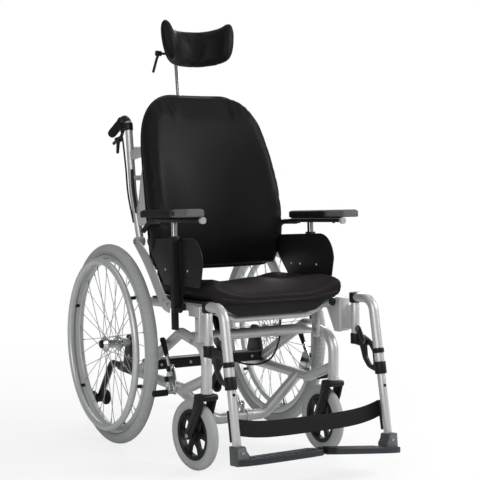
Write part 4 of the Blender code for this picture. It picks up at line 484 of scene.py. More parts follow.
def moulded_plastic(name, colour, rough=0.42, grain=1500, depth=0.00010):
    """Grained moulding: fine pits, dust in the low places, and rubbed patches."""
    f = Finish(name, Specular_IOR_Level=0.18)
    pits = f.noise(grain, 3, 0.6)
    cloud = f.noise(25, 3)
    rub = f.step(f.noise(45, 4, 0.65), 0.55, 0.75)
    f.bump(pits, depth, 0.6)
    f.set(Roughness=rough + (cloud - 0.5) * 0.16 + (pits - 0.5) * 0.12 - rub * 0.05)
    return f.set(Base_Color=f.mix(cloud * 0.5 + rub * 0.3, colour,
                                  tuple(value * 1.35 + 0.003 for value in colour)))


def tyre_rubber(name, colour, hub_height=None):
    """Rubber; with the hub's height given, the tread has cross grooves near its edge."""
    f = Finish(name, Specular_IOR_Level=0.12)
    grain = f.noise(900, 3, 0.65)
    dust = f.noise(18, 4, 0.6)
    scuff = f.step(f.noise(70, 4, 0.7), 0.52, 0.70)
    relief = grain * 0.25
    if hub_height:
        y = f.axis("Y") - AXLE_Y
        z = f.axis("Z") - hub_height
        turn = f.node("ShaderNodeMath", {"operation": "ARCTAN2"}, {0: z, 1: y})
        wave = f.node("ShaderNodeMath", {"operation": "SINE"}, {0: turn * 150})
        outer = f.step((y * y + z * z) ** 0.5, hub_height - 0.014, hub_height - 0.010)
        relief = relief + f.step(wave, -0.2, 0.3) * outer
    f.bump(relief, 0.0010, 0.8)
    f.set(Roughness=0.66 + dust * 0.18 - scuff * 0.06)
    return f.set(Base_Color=f.mix(dust * 0.6 + scuff * 0.25, colour, shade(colour, 1.28)))


def stretch_cloth(name, colour, weave=1050):
    """Knitted upholstery cloth: fine loops, a soft nap and broad pressed patches."""
    f = Finish(name, Specular_IOR_Level=0.11, Sheen_Weight=0.02, Sheen_Roughness=0.35,
               Sheen_Tint=(0.62, 0.58, 0.62, 1))
    rows = f.node("ShaderNodeTexWave", {"bands_direction": "Z"},
                  {"Vector": f.place, "Scale": weave * 0.33, "Distortion": 1.2, "Detail": 1.0})
    loops = f.node("ShaderNodeTexVoronoi", None, {"Vector": f.place, "Scale": weave})
    nap = f.noise(9, 4, 0.6)
    thread = f.noise(1400, 2, 0.7)
    f.bump(rows * 0.5 + loops * 0.7 + thread * 0.4, 0.00025, 0.25)
    f.set(Roughness=0.46 + nap * 0.14 + (thread - 0.5) * 0.10)
    tone = f.mix(nap * 0.7, colour, tuple(value * 1.5 + 0.002 for value in colour))
    return f.set(Base_Color=f.mix(loops * 0.35, tone, shade(colour, 0.45)))


def webbing(name, colour):
    """Flat woven strap: ribs across it and a fine edge."""
    f = Finish(name, Specular_IOR_Level=0.15, Sheen_Weight=0.08, Sheen_Roughness=0.4)
    ribs = f.node("ShaderNodeTexWave", {"bands_direction": "X"},
                  {"Vector": f.place, "Scale": 160.0, "Distortion": 0.4})
    lines = f.node("ShaderNodeTexWave", {"bands_direction": "Z"},
                   {"Vector": f.place, "Scale": 95.0, "Distortion": 0.3})
    cloud = f.noise(14, 3)
    f.bump(ribs * 0.6 + lines, 0.0004, 0.5)
    f.set(Roughness=0.5 + cloud * 0.2)
    return f.set(Base_Color=f.mix(cloud * 0.5 + lines * 0.3, colour, shade(colour, 1.8)))


def grained_pad(name, colour, front_colour, front, length):
    """Moulded arm pad: leathery grain, paler where the hand lies at the front."""
    f = Finish(name, Specular_IOR_Level=0.16)
    cells = f.node("ShaderNodeTexVoronoi", {"feature": "DISTANCE_TO_EDGE"},
                   {"Vector": f.place, "Scale": 520.0})
    cloud = f.noise(26, 3)
    pale = 1 - f.step(f.axis("Y"), front + length * 0.8, front + length * 1.1)
    f.bump(f.step(cells, 0.0, 0.35), 0.0003, 0.5)
    f.set(Roughness=0.5 + cloud * 0.15 + pale * 0.12)
    return f.set(Base_Color=f.mix(pale * (0.75 + cloud * 0.3), colour, front_colour))


def colour(name, description, default):
    """A colour that a user can change."""
    return bpy.props.FloatVectorProperty(name=name, description=description, subtype="COLOR",
                                         default=default, min=0, max=1)


class WheelchairFinishes(bpy.types.PropertyGroup):
    """Colours of the chair's materials."""
    silver: colour("Frame", "Lacquered tubes of the frame", (0.57, 0.575, 0.575))
    rubber: colour("Tyres", "Rubber of the tyres", (0.320, 0.330, 0.327))
    rim: colour("Rims", "Rims and handrims of the rear wheels", (0.56, 0.575, 0.57))
    plating: colour("Plating", "Bright posts, hubs and spokes", (0.62, 0.645, 0.63))
    black: colour("Black mouldings", "Levers, panels and forks", (0.0075, 0.0078, 0.0085))
    slate: colour("Slate mouldings", "Footplates and arm pads", (0.026, 0.030, 0.034))
    cloth: colour("Upholstery", "Stretch cloth of the back and head pads",
                  (0.0060, 0.0052, 0.0062))
    web: colour("Strap", "Webbing behind the calves", (0.0070, 0.0070, 0.0080))


class WheelchairSizes(bpy.types.PropertyGroup):
    """Sizes of the repeated and rounded details."""
    spokes: bpy.props.IntProperty(
        name="Spokes", description="Wire spokes in each rear wheel", default=36, min=12, max=48)
    frame_tube: bpy.props.FloatProperty(
        name="Frame tube", description="Radius of the side frames' tubes", unit="LENGTH",
        default=0.015, min=0.01, max=0.02)
    tyre_section: bpy.props.FloatProperty(
        name="Tyre section", description="Radius of the rear tyres' section", unit="LENGTH",
        default=0.0175, min=0.01, max=0.03)
    cloth_swell: bpy.props.FloatProperty(
        name="Cushion swell", description="How far the simulated covers may move",
        unit="LENGTH", default=0.006, min=0.0, max=0.02)


PAINT = {}


def mix_paints(colours):
    """Make every material that the pieces use."""
    rubber = tuple(colours.rubber)
    PAINT.update(
        silver=lacquered_metal("silver_lacquer", tuple(colours.silver)),
        rim=lacquered_metal("rim_lacquer", tuple(colours.rim), 0.40, 0.5),
        plated=plated_metal("plated_steel", tuple(colours.plating)),
        steel=plated_metal("spoke_steel", (0.46, 0.48, 0.47), 0.30),
        black=moulded_plastic("black_moulding", tuple(colours.black)),
        satin_black=moulded_plastic("black_casting", (0.0105, 0.0108, 0.0115), 0.36, 900),
        slate=moulded_plastic("slate_moulding", tuple(colours.slate), 0.38, 700, 0.00018),
        pale_grey=moulded_plastic("pale_grey_moulding", (0.30, 0.31, 0.31), 0.40),
        mid_grey=moulded_plastic("mid_grey_casting", (0.060, 0.064, 0.067), 0.36),
        step_grey=moulded_plastic("step_grey_moulding", (0.120, 0.126, 0.130), 0.36),
        rubber=tyre_rubber("tyre_rubber", rubber),
        tread=tyre_rubber("tread_rubber", rubber, WHEEL_RADIUS),
        grip=tyre_rubber("grip_rubber", (0.0080, 0.0090, 0.0085)),
        cloth=stretch_cloth("stretch_cloth", tuple(colours.cloth)),
        seat_cloth=stretch_cloth("seat_cloth", (0.0125, 0.0095, 0.0100), 900),
        web=webbing("strap_webbing", tuple(colours.web)),
        pad=grained_pad("arm_pad_grain", (0.0085, 0.0092, 0.0100), (0.120, 0.125, 0.127),
                        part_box("armrest_pad_right")[0].y, 0.098))


class WHEELCHAIR_OT_finishes(bpy.types.Operator):
    """The procedural materials that every piece takes its finish from."""
    bl_idname = "wheelchair.finishes"
    bl_label = "Finishes"

    def execute(self, context):
        mix_paints(context.scene.wheelchair_finishes)
        return {"FINISHED"}


class WHEELCHAIR_OT_frame(bpy.types.Operator):
    """Side frames with their axle plates, and the tubes and beam that join them."""
    bl_idname = "wheelchair.frame"
    bl_label = "Chassis frame"

    def execute(self, context):
        tube = context.scene.wheelchair_sizes.frame_tube
        for side, sign in SIDES.items():
            s = Shape(CHAIR, sign)
            s.tube(rounded([((SIDE_X, CASTER_Y, 0.2235), 0), ((SIDE_X, CASTER_Y, 0.352), 0.058),
                            ((SIDE_X, -0.322, 0.374), 0.024), ((SIDE_X, -0.030, 0.214), 0)]),
                   tube, 32)
            s.tube(rounded([((SIDE_X, 0.085, 0.214), 0), ((SIDE_X, -0.345, 0.214), 0.030),
                            ((SIDE_X, CASTER_Y, 0.264), 0)]), tube, 32)
            s.turned([(0.0155, 0.0), (0.0165, 0.001), (0.0165, 0.012), (0.0155, 0.013),
                      (0.010, 0.013), (0.010, 0.0)], (SIDE_X, CASTER_Y, 0.2235), 40, "Z")
            s.pin((SIDE_X, 0.2525), (0, WHEEL_RADIUS), 0.013)
            s.pin((SIDE_X, 0.181), (-0.415, 0.3607), 0.008)
            s.paint = 1
            for y, z in ((-0.040, 0.226), (0.040, 0.226), (0, 0.262)):
                s.pin((0.2285, 0.2308), (y, z), 0.0062, 0.0052, 6)
            s.pin((0.2245, 0.2282), (-0.415, 0.3607), 0.0075)
            s.paint = 2
            s.plate(outline([(-0.060, 0.204, 0.008), (0.054, 0.204, 0.008),
                             (0.018, 0.329, 0.018), (-0.022, 0.329, 0.018)]),
                    0.223, 0.012, 0.0016)
            s.rod((SIDE_X, 0.0855, 0.214), (SIDE_X, 0.046, 0.214), 0.0162, sides=32)
            s.finish(f"frame_side_{side}", "chassis", [f"side_frame_{side}"], "silver",
                     "silver", "steel", "black")
        s = Shape()
        s.pin((-0.200, 0.200), (-0.376, 0.3663), 0.0155, sides=36)
        s.finish("frame_front_bar", "chassis", ["front_cross_tube"], "silver", "silver")
        s = Shape()
        s.tube(rounded([((-0.203, -0.290, 0.2103), 0), ((-0.085, -0.290, 0.103), 0.050),
                        ((0.085, -0.290, 0.103), 0.050), ((0.203, -0.290, 0.2103), 0)]),
               0.016, 36)
        s.turned([(0.016, 0.018), (0.0195, 0.018), (0.020, 0.0186), (0.020, 0.0354),
                  (0.0195, 0.036), (0.016, 0.036)], (0, -0.290, 0.103), 40)
        ear = outline([(-0.302, 0.100, 0.002), (-0.278, 0.100, 0.002), (-0.280, 0.150, 0.009),
                       (-0.300, 0.150, 0.009)])
        for ear_x in (-0.010, 0.010):
            s.plate(ear, ear_x, 0.004)
        s.paint = 1
        s.pin((-0.0135, 0.0135), (-0.290, 0.138), 0.004)
        for x in (-0.012, 0.012):
            s.pin((x, x * 0.0145 / 0.012), (-0.290, 0.138), 0.0065, sides=6)
        s.finish("frame_low_bar", "chassis", ["lower_cross_tube"], "silver", "silver", "steel")
        s = Shape()
        s.block((-0.207, -0.088, 0.226), (0.207, -0.048, 0.258), 0.004, 3)
        s.paint = 1
        for bolt in (-0.160, -0.060, 0.060, 0.160):
            s.rod((bolt, -0.089, 0.242), (bolt, -0.0905, 0.242), 0.005, sides=6, bevel=0.0003)
        s.finish("frame_rear_beam", "chassis", ["rear_cross_beam"], "black_plastic",
                 "satin_black", "steel")
        return {"FINISHED"}


class WHEELCHAIR_OT_rear_wheels(bpy.types.Operator):
    """Rear wheels: tyre, rim, laced spokes and hub, handrim on stand-offs, and axle."""
    bl_idname = "wheelchair.rear_wheels"
    bl_label = "Rear wheels"

    def execute(self, context):
        sizes = context.scene.wheelchair_sizes
        for side, sign in SIDES.items():
            body = f"wheel_{side}"
            axes = CHAIR @ Matrix.Translation((sign * WHEEL_X, 0, WHEEL_RADIUS))
            section = sizes.tyre_section
            middle = WHEEL_RADIUS - section
            rim_top = middle - 0.015
            s = Shape(axes, sign)
            profile = []
            seat = math.asin(0.015 / section)
            count = 44
            for number in range(count + 1):
                angle = -seat + (math.pi + 2 * seat) * number / count
                radius = section
                across = abs(angle - math.pi / 2)
                if 0.16 < across < 0.26 or 0.52 < across < 0.62:
                    radius -= 0.0009
                if 1.28 < across < 1.36:
                    radius -= 0.0005
                profile.append((middle + radius * math.sin(angle), radius * math.cos(angle)))
            s.turned(profile, steps=120)
            s.finish(f"tyre_{side}", body, [f"rear_tyre_{side}"], "grey_rubber", "tread")

            s = Shape(axes, sign)
            top = rim_top - 0.0004
            s.turned(both_ways([(top, 0.0108), (top - 0.0005, 0.0115), (top - 0.003, 0.0112),
                                (top - 0.012, 0.0112), (top - 0.019, 0.0075),
                                (top - 0.021, 0.0045)]), steps=120)
            s.paint = 1
            inner = -0.0315
            outer = 0.0335
            flange = 0.021
            half = 0.003
            s.turned([(0.0075, inner), (0.014, inner), (0.0145, -flange - half * 1.5),
                      (0.0235, -flange - half), (0.024, -flange - half * 0.6),
                      (0.024, -flange + half * 0.6), (0.0235, -flange + half),
                      (0.0150, -flange + half * 2), (0.0135, 0), (0.0150, flange - half * 2),
                      (0.0235, flange - half), (0.024, flange - half * 0.6),
                      (0.024, flange + half * 0.6), (0.0235, flange + half),
                      (0.0165, outer - 0.002), (0.0155, outer), (0.0075, outer)],
                     steps=48)
            s.paint = 2
            s.sign = 1
            rim_low = top - 0.021
            for number in range(sizes.spokes):
                face = 1 if number % 2 else -1
                lean = 1 if (number // 2) % 2 else -1
                at_rim = TURN * (number + 0.5) / sizes.spokes
                at_hub = at_rim + lean * math.radians(60)
                start = Vector((face * 0.021 + lean * 0.0015, math.cos(at_hub) * 0.0215,
                                math.sin(at_hub) * 0.0215))
                end = Vector((face * 0.0035 + lean * 0.0015, math.cos(at_rim) * rim_low,
                              math.sin(at_rim) * rim_low))
                s.rod(start, end, 0.00105, sides=6, bevel=0)
                along = (end - start).normalized()
                s.rod(end - along * 0.012, end + along * 0.001, 0.0019, sides=6, bevel=0)
            s.paint = 3
            valve = math.radians(250)
            spot = Vector((0, math.cos(valve), math.sin(valve)))
            s.rod(spot * (rim_low + 0.001), spot * (rim_low - 0.026), 0.0028, 0.0024, 12)
            s.finish(f"rim_{side}", body, [f"rear_wheel_{side}"], "rim_grey", "rim", "plated",
                     "steel", "black")

            s = Shape(axes, sign)
            around = [(0.254 + 0.010 * math.cos(TURN * k / 20),
                       0.0355 + 0.010 * math.sin(TURN * k / 20)) for k in range(20)]
            s.turned(around, steps=120)
            for number in range(6):
                angle = TURN * (number + 0.35) / 6
                y = math.cos(angle) * 0.256
                z = math.sin(angle) * 0.256
                s.paint = 1
                s.pin((0.0112, 0.027), (y, z), 0.0055, 0.0048)
                s.paint = 2
                s.pin((0.027, 0.034), (y, z), 0.0040, sides=16)
            s.finish(f"hand_ring_{side}", body, [f"handrim_{side}"], "silver", "rim", "black",
                     "steel")

            s = Shape(CHAIR, sign)
            head = 0.3191
            s.pin((0.2155, head + 0.002), (0, WHEEL_RADIUS), 0.006)
            s.paint = 1
            s.turned([(0.0005, 0.0058), (0.009, 0.006), (0.0117, 0.0045),
                      (0.0125, 0.002), (0.0125, 0), (0.0005, 0)], (head, 0, WHEEL_RADIUS), 40)
            s.finish(f"quick_axle_{side}", "chassis", [f"axle_{side}"], "chrome", "plated",
                     "black")
        return {"FINISHED"}


class WHEELCHAIR_OT_casters(bpy.types.Operator):
    """Front casters: black forks on stems, and grey tyres on pierced centres."""
    bl_idname = "wheelchair.casters"
    bl_label = "Casters"

    def execute(self, context):
        for side, sign in SIDES.items():
            turn = math.radians(8) if side == "right" else 0.0
            axes = (CHAIR @ Matrix.Translation((sign * SIDE_X, CASTER_Y, 0))
                    @ Matrix.Rotation(turn, 4, "Z"))
            top = 0.2225
            s = Shape(axes)
            s.plate(outline([(-0.021, top - 0.016, 0.004), (-0.021, top, 0.006),
                             (0.024, top, 0.006), (0.030, top - 0.016, 0.004)]),
                    0, 0.050, 0.0022, 3)
            leg = outline([(-0.018, top - 0.003, 0.004), (0.022, top - 0.003, 0.004),
                           (0.034, top - 0.045, 0.020), (0.069, 0.104, 0.013),
                           (0.060, 0.086, 0.010), (0.042, 0.094, 0.012),
                           (-0.002, top - 0.050, 0.020)])
            rib = outline([(-0.010, top - 0.012, 0.003), (0.014, top - 0.012, 0.003),
                           (0.026, top - 0.048, 0.018), (0.058, 0.108, 0.006),
                           (0.050, 0.108, 0.006), (0.008, top - 0.052, 0.016)])
            for x in (-0.0225, 0.0225):
                s.plate(leg, x, 0.007, 0.0016, 3)
                s.plate(rib, x * 1.12, 0.0045, 0.0012)
                s.pin((x * 0.86, x * 1.2), (CASTER_TRAIL, CASTER_RADIUS), 0.0115)
            s.turned([(0.0135, 0.0), (0.0135, 0.004), (0.012, 0.0055), (0.006, 0.0055),
                      (0.006, 0.0)], (0, 0, top - 0.001), 32, "Z")
            s.paint = 1
            s.rod((0, 0, top), (0, 0, 0.2715), 0.008)
            s.pin((-0.0285, 0.0285), (CASTER_TRAIL, CASTER_RADIUS), 0.004)
            for x in (-0.0268, 0.0268):
                s.pin((x, x * 1.11), (CASTER_TRAIL, CASTER_RADIUS), 0.0068, sides=6)
            s.finish(f"caster_fork_look_{side}", f"fork_{side}", [f"caster_fork_{side}"],
                     "black_plastic", "satin_black", "steel")

            hub = axes @ Matrix.Translation((0, CASTER_TRAIL, CASTER_RADIUS))
            s = Shape(hub)
            s.turned(both_ways([(0.070, 0.006), (0.0725, 0.0105), (0.0780, 0.0145),
                                (0.084, 0.0158), (0.0905, 0.0148), (0.0955, 0.0118),
                                (0.0985, 0.0076), (0.1000, 0.0028)]), steps=80)
            s.paint = 1
            s.turned(both_ways([(0.0600, 0.0085), (0.0612, 0.0100), (0.0712, 0.0100),
                                (0.0724, 0.0090)]), steps=72)
            s.turned(both_ways([(0.0048, 0.0148), (0.0140, 0.0148), (0.0160, 0.0135),
                                (0.0185, 0.0080)]), steps=40)
            arm = outline(both_ways([(0.012, -0.0105, 0.001), (0.040, -0.0055, 0.010),
                                     (0.0665, -0.0125, 0.001)]))
            for number in range(6):
                s.plate(arm, 0, 0.0125, 0.0016, 2, Matrix.Rotation(TURN * number / 6, 4, "X"))
            s.finish(f"caster_look_{side}", f"caster_{side}", [f"caster_wheel_{side}"],
                     "grey_rubber", "rubber", "black")
        return {"FINISHED"}


class WHEELCHAIR_OT_anti_tippers(bpy.types.Operator):
    """Bent arms at the rear with a pair of small wheels each."""
    bl_idname = "wheelchair.anti_tippers"
    bl_label = "Anti-tippers"

    def execute(self, context):
        for side in SIDES:
            s = Shape(axis_frame(f"anti_tipper_turn_{side}"))
            end = Vector((0, 0.195, -0.134))
            s.tube(rounded([((0, 0.004, 0), 0), ((0, 0.090, 0), 0.035), (end, 0)]), 0.010, 28)
            s.rod(end - Vector((0.0125, 0, 0)), end + Vector((0.0125, 0, 0)), 0.014)
            s.turned([(0.009, 0.0), (0.0148, 0.0), (0.015, 0.0008), (0.015, 0.019),
                      (0.0138, 0.022), (0.009, 0.022)], steps=36, axis="Z",
                     move=Matrix.Translation((0, 0.0004, 0)) @ REARWARD)
            s.paint = 1
            s.ball((0, 0.050, 0.0095), 0.0034, (1, 1, 0.7))
            s.finish(f"tipper_arm_{side}", f"tipper_{side}", [f"anti_tipper_{side}"],
                     "black_plastic", "satin_black", "steel")
            s = Shape(axis_frame(f"anti_tipper_spin_{side}"))
            for centre in (-0.0225, 0.0225):
                s.paint = 0
                s.turned(both_ways([(0.015, 0.0085), (0.0215, 0.0085), (0.0240, 0.006),
                                    (0.0250, 0.002)]), (centre, 0, 0), 48)
                s.paint = 1
                s.turned([(0.001, 0.0075), (0.0148, 0.0075), (0.0152, 0), (0.0148, -0.0075),
                          (0.001, -0.0075)], (centre, 0, 0), 36)
            s.paint = 2
            s.pin((-0.032, 0.032), (0, 0), 0.0042)
            s.finish(f"tipper_rollers_{side}", f"tipper_wheels_{side}",
                     [f"anti_tipper_wheels_{side}"], "black_plastic", "grip", "black", "steel")
        return {"FINISHED"}


class WHEELCHAIR_OT_brakes(bpy.types.Operator):
    """Parking brakes: a plated bracket, a hand lever and a shoe bar on each side."""
    bl_idname = "wheelchair.brakes"
    bl_label = "Parking brakes"

    def execute(self, context):
        for side, sign in SIDES.items():
            x = BRAKE_X
            s = Shape(CHAIR, sign)
            s.plate(outline([(-0.325, 0.196, 0.006), (-0.262, 0.196, 0.006),
                             (-0.262, 0.232, 0.006), (-0.286, 0.280, 0.008),
                             (-0.312, 0.280, 0.008), (-0.325, 0.240, 0.008)]), x, 0.005)
            for y, z in ((-0.300, 0.268), (-0.286, 0.236)):
                s.pin((x, x + 0.0105), (y, z), 0.004)
            s.paint = 2
            for y, z in ((-0.300, 0.268), (-0.286, 0.236)):
                s.pin((x + 0.0084, x + 0.0150), (y, z), 0.0088, 0.0080)
            s.paint = 1
            for y, z in ((-0.312, 0.206), (-0.275, 0.206)):
                s.pin((x + 0.002, x + 0.0050), (y, z), 0.005, sides=6)
            s.finish(f"brake_plate_{side}", "chassis", [f"brake_bracket_{side}"], "chrome",
                     "plated", "steel", "black")
            layer = sign * (BRAKE_X + 0.0054)
            lean = math.radians(32)
            up = Vector((0, math.sin(lean), math.cos(lean)))
            across = Vector((0, math.cos(lean), -math.sin(lean)))
            corners = [(up * height + across * half, radius) for height, half, radius in
                       ((-0.003, -0.008, 0.007), (-0.003, 0.008, 0.007),
                        (0.060, 0.0055, 0.003), (0.060, -0.0055, 0.003))]
            s = Shape(self.in_layer(f"brake_lever_{side}", layer), sign)
            s.plate(outline([(p.y, p.z, radius) for p, radius in corners]), 0, 0.005)
            s.paint = 1
            s.rod(up * 0.041, up * 0.060, 0.0062, 0.0072)
            s.rod(up * 0.060, up * 0.094, 0.0072, 0.0085)
            s.ball(up * 0.0925, 0.0085, (1, 1, 0.75))
            s.finish(f"brake_handle_{side}", f"brake_hand_lever_{side}",
                     [f"brake_lever_{side}"], "black_plastic", "plated", "grip")
            s = Shape(self.in_layer(f"brake_shoe_{side}", layer), sign)
            s.plate(outline([(0.008, 0.008, 0.007), (-0.008, 0.008, 0.007),
                             (-0.044, -0.036, 0.006), (-0.030, -0.039, 0.006)]), 0, 0.005)
            s.paint = 1
            s.pin((0.021, 0.0645), (-0.036, -0.031), 0.0092)
            s.paint = 0
            s.pin((0, 0.022), (-0.036, -0.031), 0.0050)
            s.finish(f"brake_bar_{side}", f"brake_arm_{side}", [f"brake_shoe_{side}"],
                     "black_plastic", "steel", "grip")
        return {"FINISHED"}

    def in_layer(self, joint, x):
        """The axes of a joint, moved across to the layer that its plate turns in."""
        return axis_frame(joint) @ Matrix.Translation((x - JOINTS[joint]["pos_m"][0], 0, 0))


def hinge_strap():
    """The curved strap from the seat rail up to the recline pivot, as (back, up) points."""
    centre = smooth([(0.158, 0.086, 0), (0.196, 0.100, 0), (0.236, 0.141, 0),
                     (0.281, 0.192, 0), (0.327, 0.234, 0), (*RECLINE_YZ, 0)], 20)
    widths = smooth([(w, 0, 0) for w in (0.018, 0.021, 0.021, 0.021, 0.019, 0.013)], 20)
    left, right = [], []
    for index, (point, width) in enumerate(zip(centre, widths)):
        ahead = centre[min(index + 1, len(centre) - 1)]
        along = (ahead - centre[max(index - 1, 0)]).normalized()
        across = Vector((-along.y, along.x, 0)) * width.x
        left.append((point + across)[:2])
        right.append((point - across)[:2])
    along = (centre[-1] - centre[-2]).normalized()
    cap = [centre[-1] + Matrix.Rotation(math.radians(90 - 22.5 * k), 3, "Z") @ along * 0.013
           for k in range(1, 8)]
    return left + [tuple(p[:2]) for p in cap] + right[::-1]


class WHEELCHAIR_OT_seat_frame(bpy.types.Operator):
    """Seat rails, pivot lugs, drop tube, hinge straps, legrest hangers, pan and tilt spring."""
    bl_idname = "wheelchair.seat_frame"
    bl_label = "Seat frame"

    def execute(self, context):
        rail = RAIL_Z
        s = Shape(SEAT)
        for sign in SIDES.values():
            s.sign = sign
            s.paint = 0
            s.rod((RAIL_X, -0.078, rail), (RAIL_X, 0.400, rail), 0.0125, sides=36)
            s.plate(outline([(-0.0165, -0.0165, 0.015), (0.0165, -0.0165, 0.015),
                             (0.0165, rail, 0.004), (-0.0165, rail, 0.004)]),
                    0.189, 0.010, 0.0014)
            s.plate(hinge_strap(), 0.212, 0.005, 0.0007)
            s.block((0.200, 0.150, rail - 0.008), (0.213, 0.205, rail + 0.008))
            s.pin((0.212, 0.1845), RECLINE_YZ, 0.007)
            s.plate([(0.020, rail + 0.010), (-0.088, rail + 0.010), (-0.088, 0.004),
                     (-0.062, 0.004), (-0.024, rail - 0.022), (0.020, rail - 0.022)],
                    0.217, 0.010, 0.0012)
            s.block((0.201, -0.074, rail - 0.007), (0.214, 0.010, rail + 0.007))
            s.block((0.2135, -0.092, 0.006), (0.247, -0.064, rail + 0.012), 0.003, 3)
            s.block((0.236, HANGER_Y, 0.012), (0.244, -0.086, rail - 0.010))
            s.rod((HANGER_X, HANGER_Y, 0.002), (HANGER_X, HANGER_Y, 0.090), 0.012, sides=32)
            s.paint = 1
            s.pin((0.2145, 0.2180), RECLINE_YZ, 0.0085, sides=28)
            for y, z in ((0.166, 0.092), (0.192, 0.104)):
                s.pin((0.2142, 0.2175), (y, z), 0.0055, sides=6)
            for z in (0.030, 0.070):
                s.pin((0.2465, 0.2492), (-0.078, z), 0.0048, sides=6)
            s.pin((0.1825, 0.180), (0, 0), 0.0105, sides=6)
            s.paint = 2
            s.rod((RAIL_X, -0.0775, rail), (RAIL_X, -0.081, rail), 0.0118)
            s.rod((RAIL_X, 0.3995, rail), (RAIL_X, 0.4025, rail), 0.0118)
        s.sign = 1
        s.paint = 0
        s.tube(rounded([((-RAIL_X, -0.055, rail), 0), ((-0.120, -0.055, 0.060), 0.030),
                        ((0.120, -0.055, 0.060), 0.030), ((RAIL_X, -0.055, rail), 0)]),
               0.010, 28)
        s.pin((-RAIL_X, RAIL_X), (0.386, rail - 0.002), 0.011)
        s.pin((-RAIL_X, RAIL_X), (0.300, rail - 0.003), 0.008)
        clevis = outline([(0.2844, 0.0552, 0.008), (0.3054, 0.0562, 0.008),
                          (0.306, 0.091, 0.001), (0.294, 0.091, 0.001)])
        for x in (-0.0105, 0.0105):
            s.plate(clevis, x, 0.004)
        ear = outline([(0.378, 0.077, 0.003), (0.428, 0.073, 0.008), (0.430, 0.097, 0.008),
                       (0.384, 0.097, 0.003)])
        for x in (-0.122, -0.098):
            s.plate(ear, x, 0.004)
        s.pin((-0.1245, -0.0955), SPRING_FOOT.yz, 0.004)
        s.finish("seat_rails", "seat", ["seat_frame"], "silver", "silver", "steel", "black")

        s = Shape(SEAT)
        top = PAN_TOP
        s.block((-0.200, -0.086, top - 0.006), (0.200, 0.300, top), 0.0015)
        lip = [(-0.180, top - 0.002), (0.180, top - 0.002)]
        lip += [(0.180 - 0.060 * t, top - 0.002 - 0.038 * math.sin(t * math.pi / 2) ** 1.2)
                for t in (0.25, 0.5, 0.75, 1)]
        lip += [(-0.120 - 0.060 * t, top - 0.002 - 0.038 * math.cos(t * math.pi / 2) ** 1.2)
                for t in (0, 0.25, 0.5, 0.75)]
        s.plate(lip, 0, 0.005, 0.0010, 2, facing(-0.0835))
        s.finish("seat_board", "seat", ["seat_pan"], "black_plastic", "black")
        spring("tilt", axis_frame("tilt_spring_swing"), (0, 0, 0), TILT_REACH, 0.45, 0.060,
               "tilt_rod", "tilt_body")
        return {"FINISHED"}


def eye(half):
    """The profile of a gas spring's eye, half its width to each side of the pin's middle."""
    return both_ways([(0.0042, half), (0.0080, half), (0.0085, half - 0.0008)])


def spring(name, axes, foot, head, rod_share, engaged, rod_body, tube_body):
    """A gas spring between two pins: the plated rod from its foot slides in a black tube."""
    foot = Vector(foot)
    head = Vector(head)
    reach = head - foot
    along = reach.normalized()
    split = foot + reach * rod_share
    s = Shape(axes)
    s.rod(foot, split + along * engaged, 0.005)
    s.turned(eye(0.006), foot, 36)
    s.finish(f"{name}_piston", rod_body, [f"{name}_spring_rod"], "chrome", "plated")
    s = Shape(axes)
    s.rod(split, head - along * 0.018, 0.011, bevel=0.0012)
    s.rod(head - along * 0.020, head - along * 0.006, 0.006)
    s.turned(eye(0.007), head, 36)
    s.paint = 1
    s.rod(split - along * 0.0005, split + along * 0.004, 0.0105)
    s.finish(f"{name}_cylinder", tube_body, [f"{name}_spring_body"], "black_plastic", "black",
             "steel")


def change(target, **settings):
    """Set several of a modifier's or simulation's settings."""
    for key, value in settings.items():
        setattr(target, key, value)


def subdivide(item, levels):
    """Round an object by subdivision."""
    change(item.modifiers.new("subdivide", "SUBSURF"), levels=levels, render_levels=levels)


def apply_modifiers(item):
    """Give the object the mesh that its modifiers make, and drop them."""
    bpy.context.view_layer.update()
    graph = bpy.context.evaluated_depsgraph_get()
    mesh = bpy.data.meshes.new_from_object(item.evaluated_get(graph))
    item.modifiers.clear()
    old = item.data
    item.data = mesh
    bpy.data.meshes.remove(old)


SWELL_FRAMES = 20


def swell(item, held, cap):
    """Blow up a cover by cloth pressure: faces along held stay, and cap limits the rest."""
    scene = bpy.context.scene
    still = item.vertex_groups.new(name="still")
    start = []
    for vert in item.data.vertices:
        if vert.normal.dot(held) > 0.7:
            still.add([vert.index], 1.0, "REPLACE")
        else:
            vert.co -= vert.normal * cap * 0.5
        start.append(vert.co.copy())
    cover = item.modifiers.new("cover", "CLOTH")
    change(cover.settings, quality=5, mass=0.3, tension_stiffness=15, compression_stiffness=15,
           bending_stiffness=1.5, use_pressure=True, uniform_pressure_force=4,
           vertex_group_mass="still")
    cover.settings.effector_weights.gravity = 0
    change(cover.point_cache, frame_start=1, frame_end=SWELL_FRAMES)
    for number in range(1, SWELL_FRAMES + 1):
        scene.frame_set(number)
    apply_modifiers(item)
    for vert, place in zip(item.data.vertices, start):
        move = vert.co - place
        if move.length > cap:
            vert.co = place + move.normalized() * cap
    scene.frame_set(1)
    item.vertex_groups.clear()


def rounded_form(name, cage, axes, levels):
    """An object from a closed cage, rounded by subdivision."""
    bmesh.ops.recalc_face_normals(cage, faces=cage.faces)
    cage.transform(axes)
    item = link_object(name, cage)
    subdivide(item, levels)
    return item


def wrap(item, paint):
    """Give all of an object one finish, shaded smooth."""
    item.data.materials.clear()
    item.data.materials.append(PAINT[paint])
    item.data.shade_smooth()


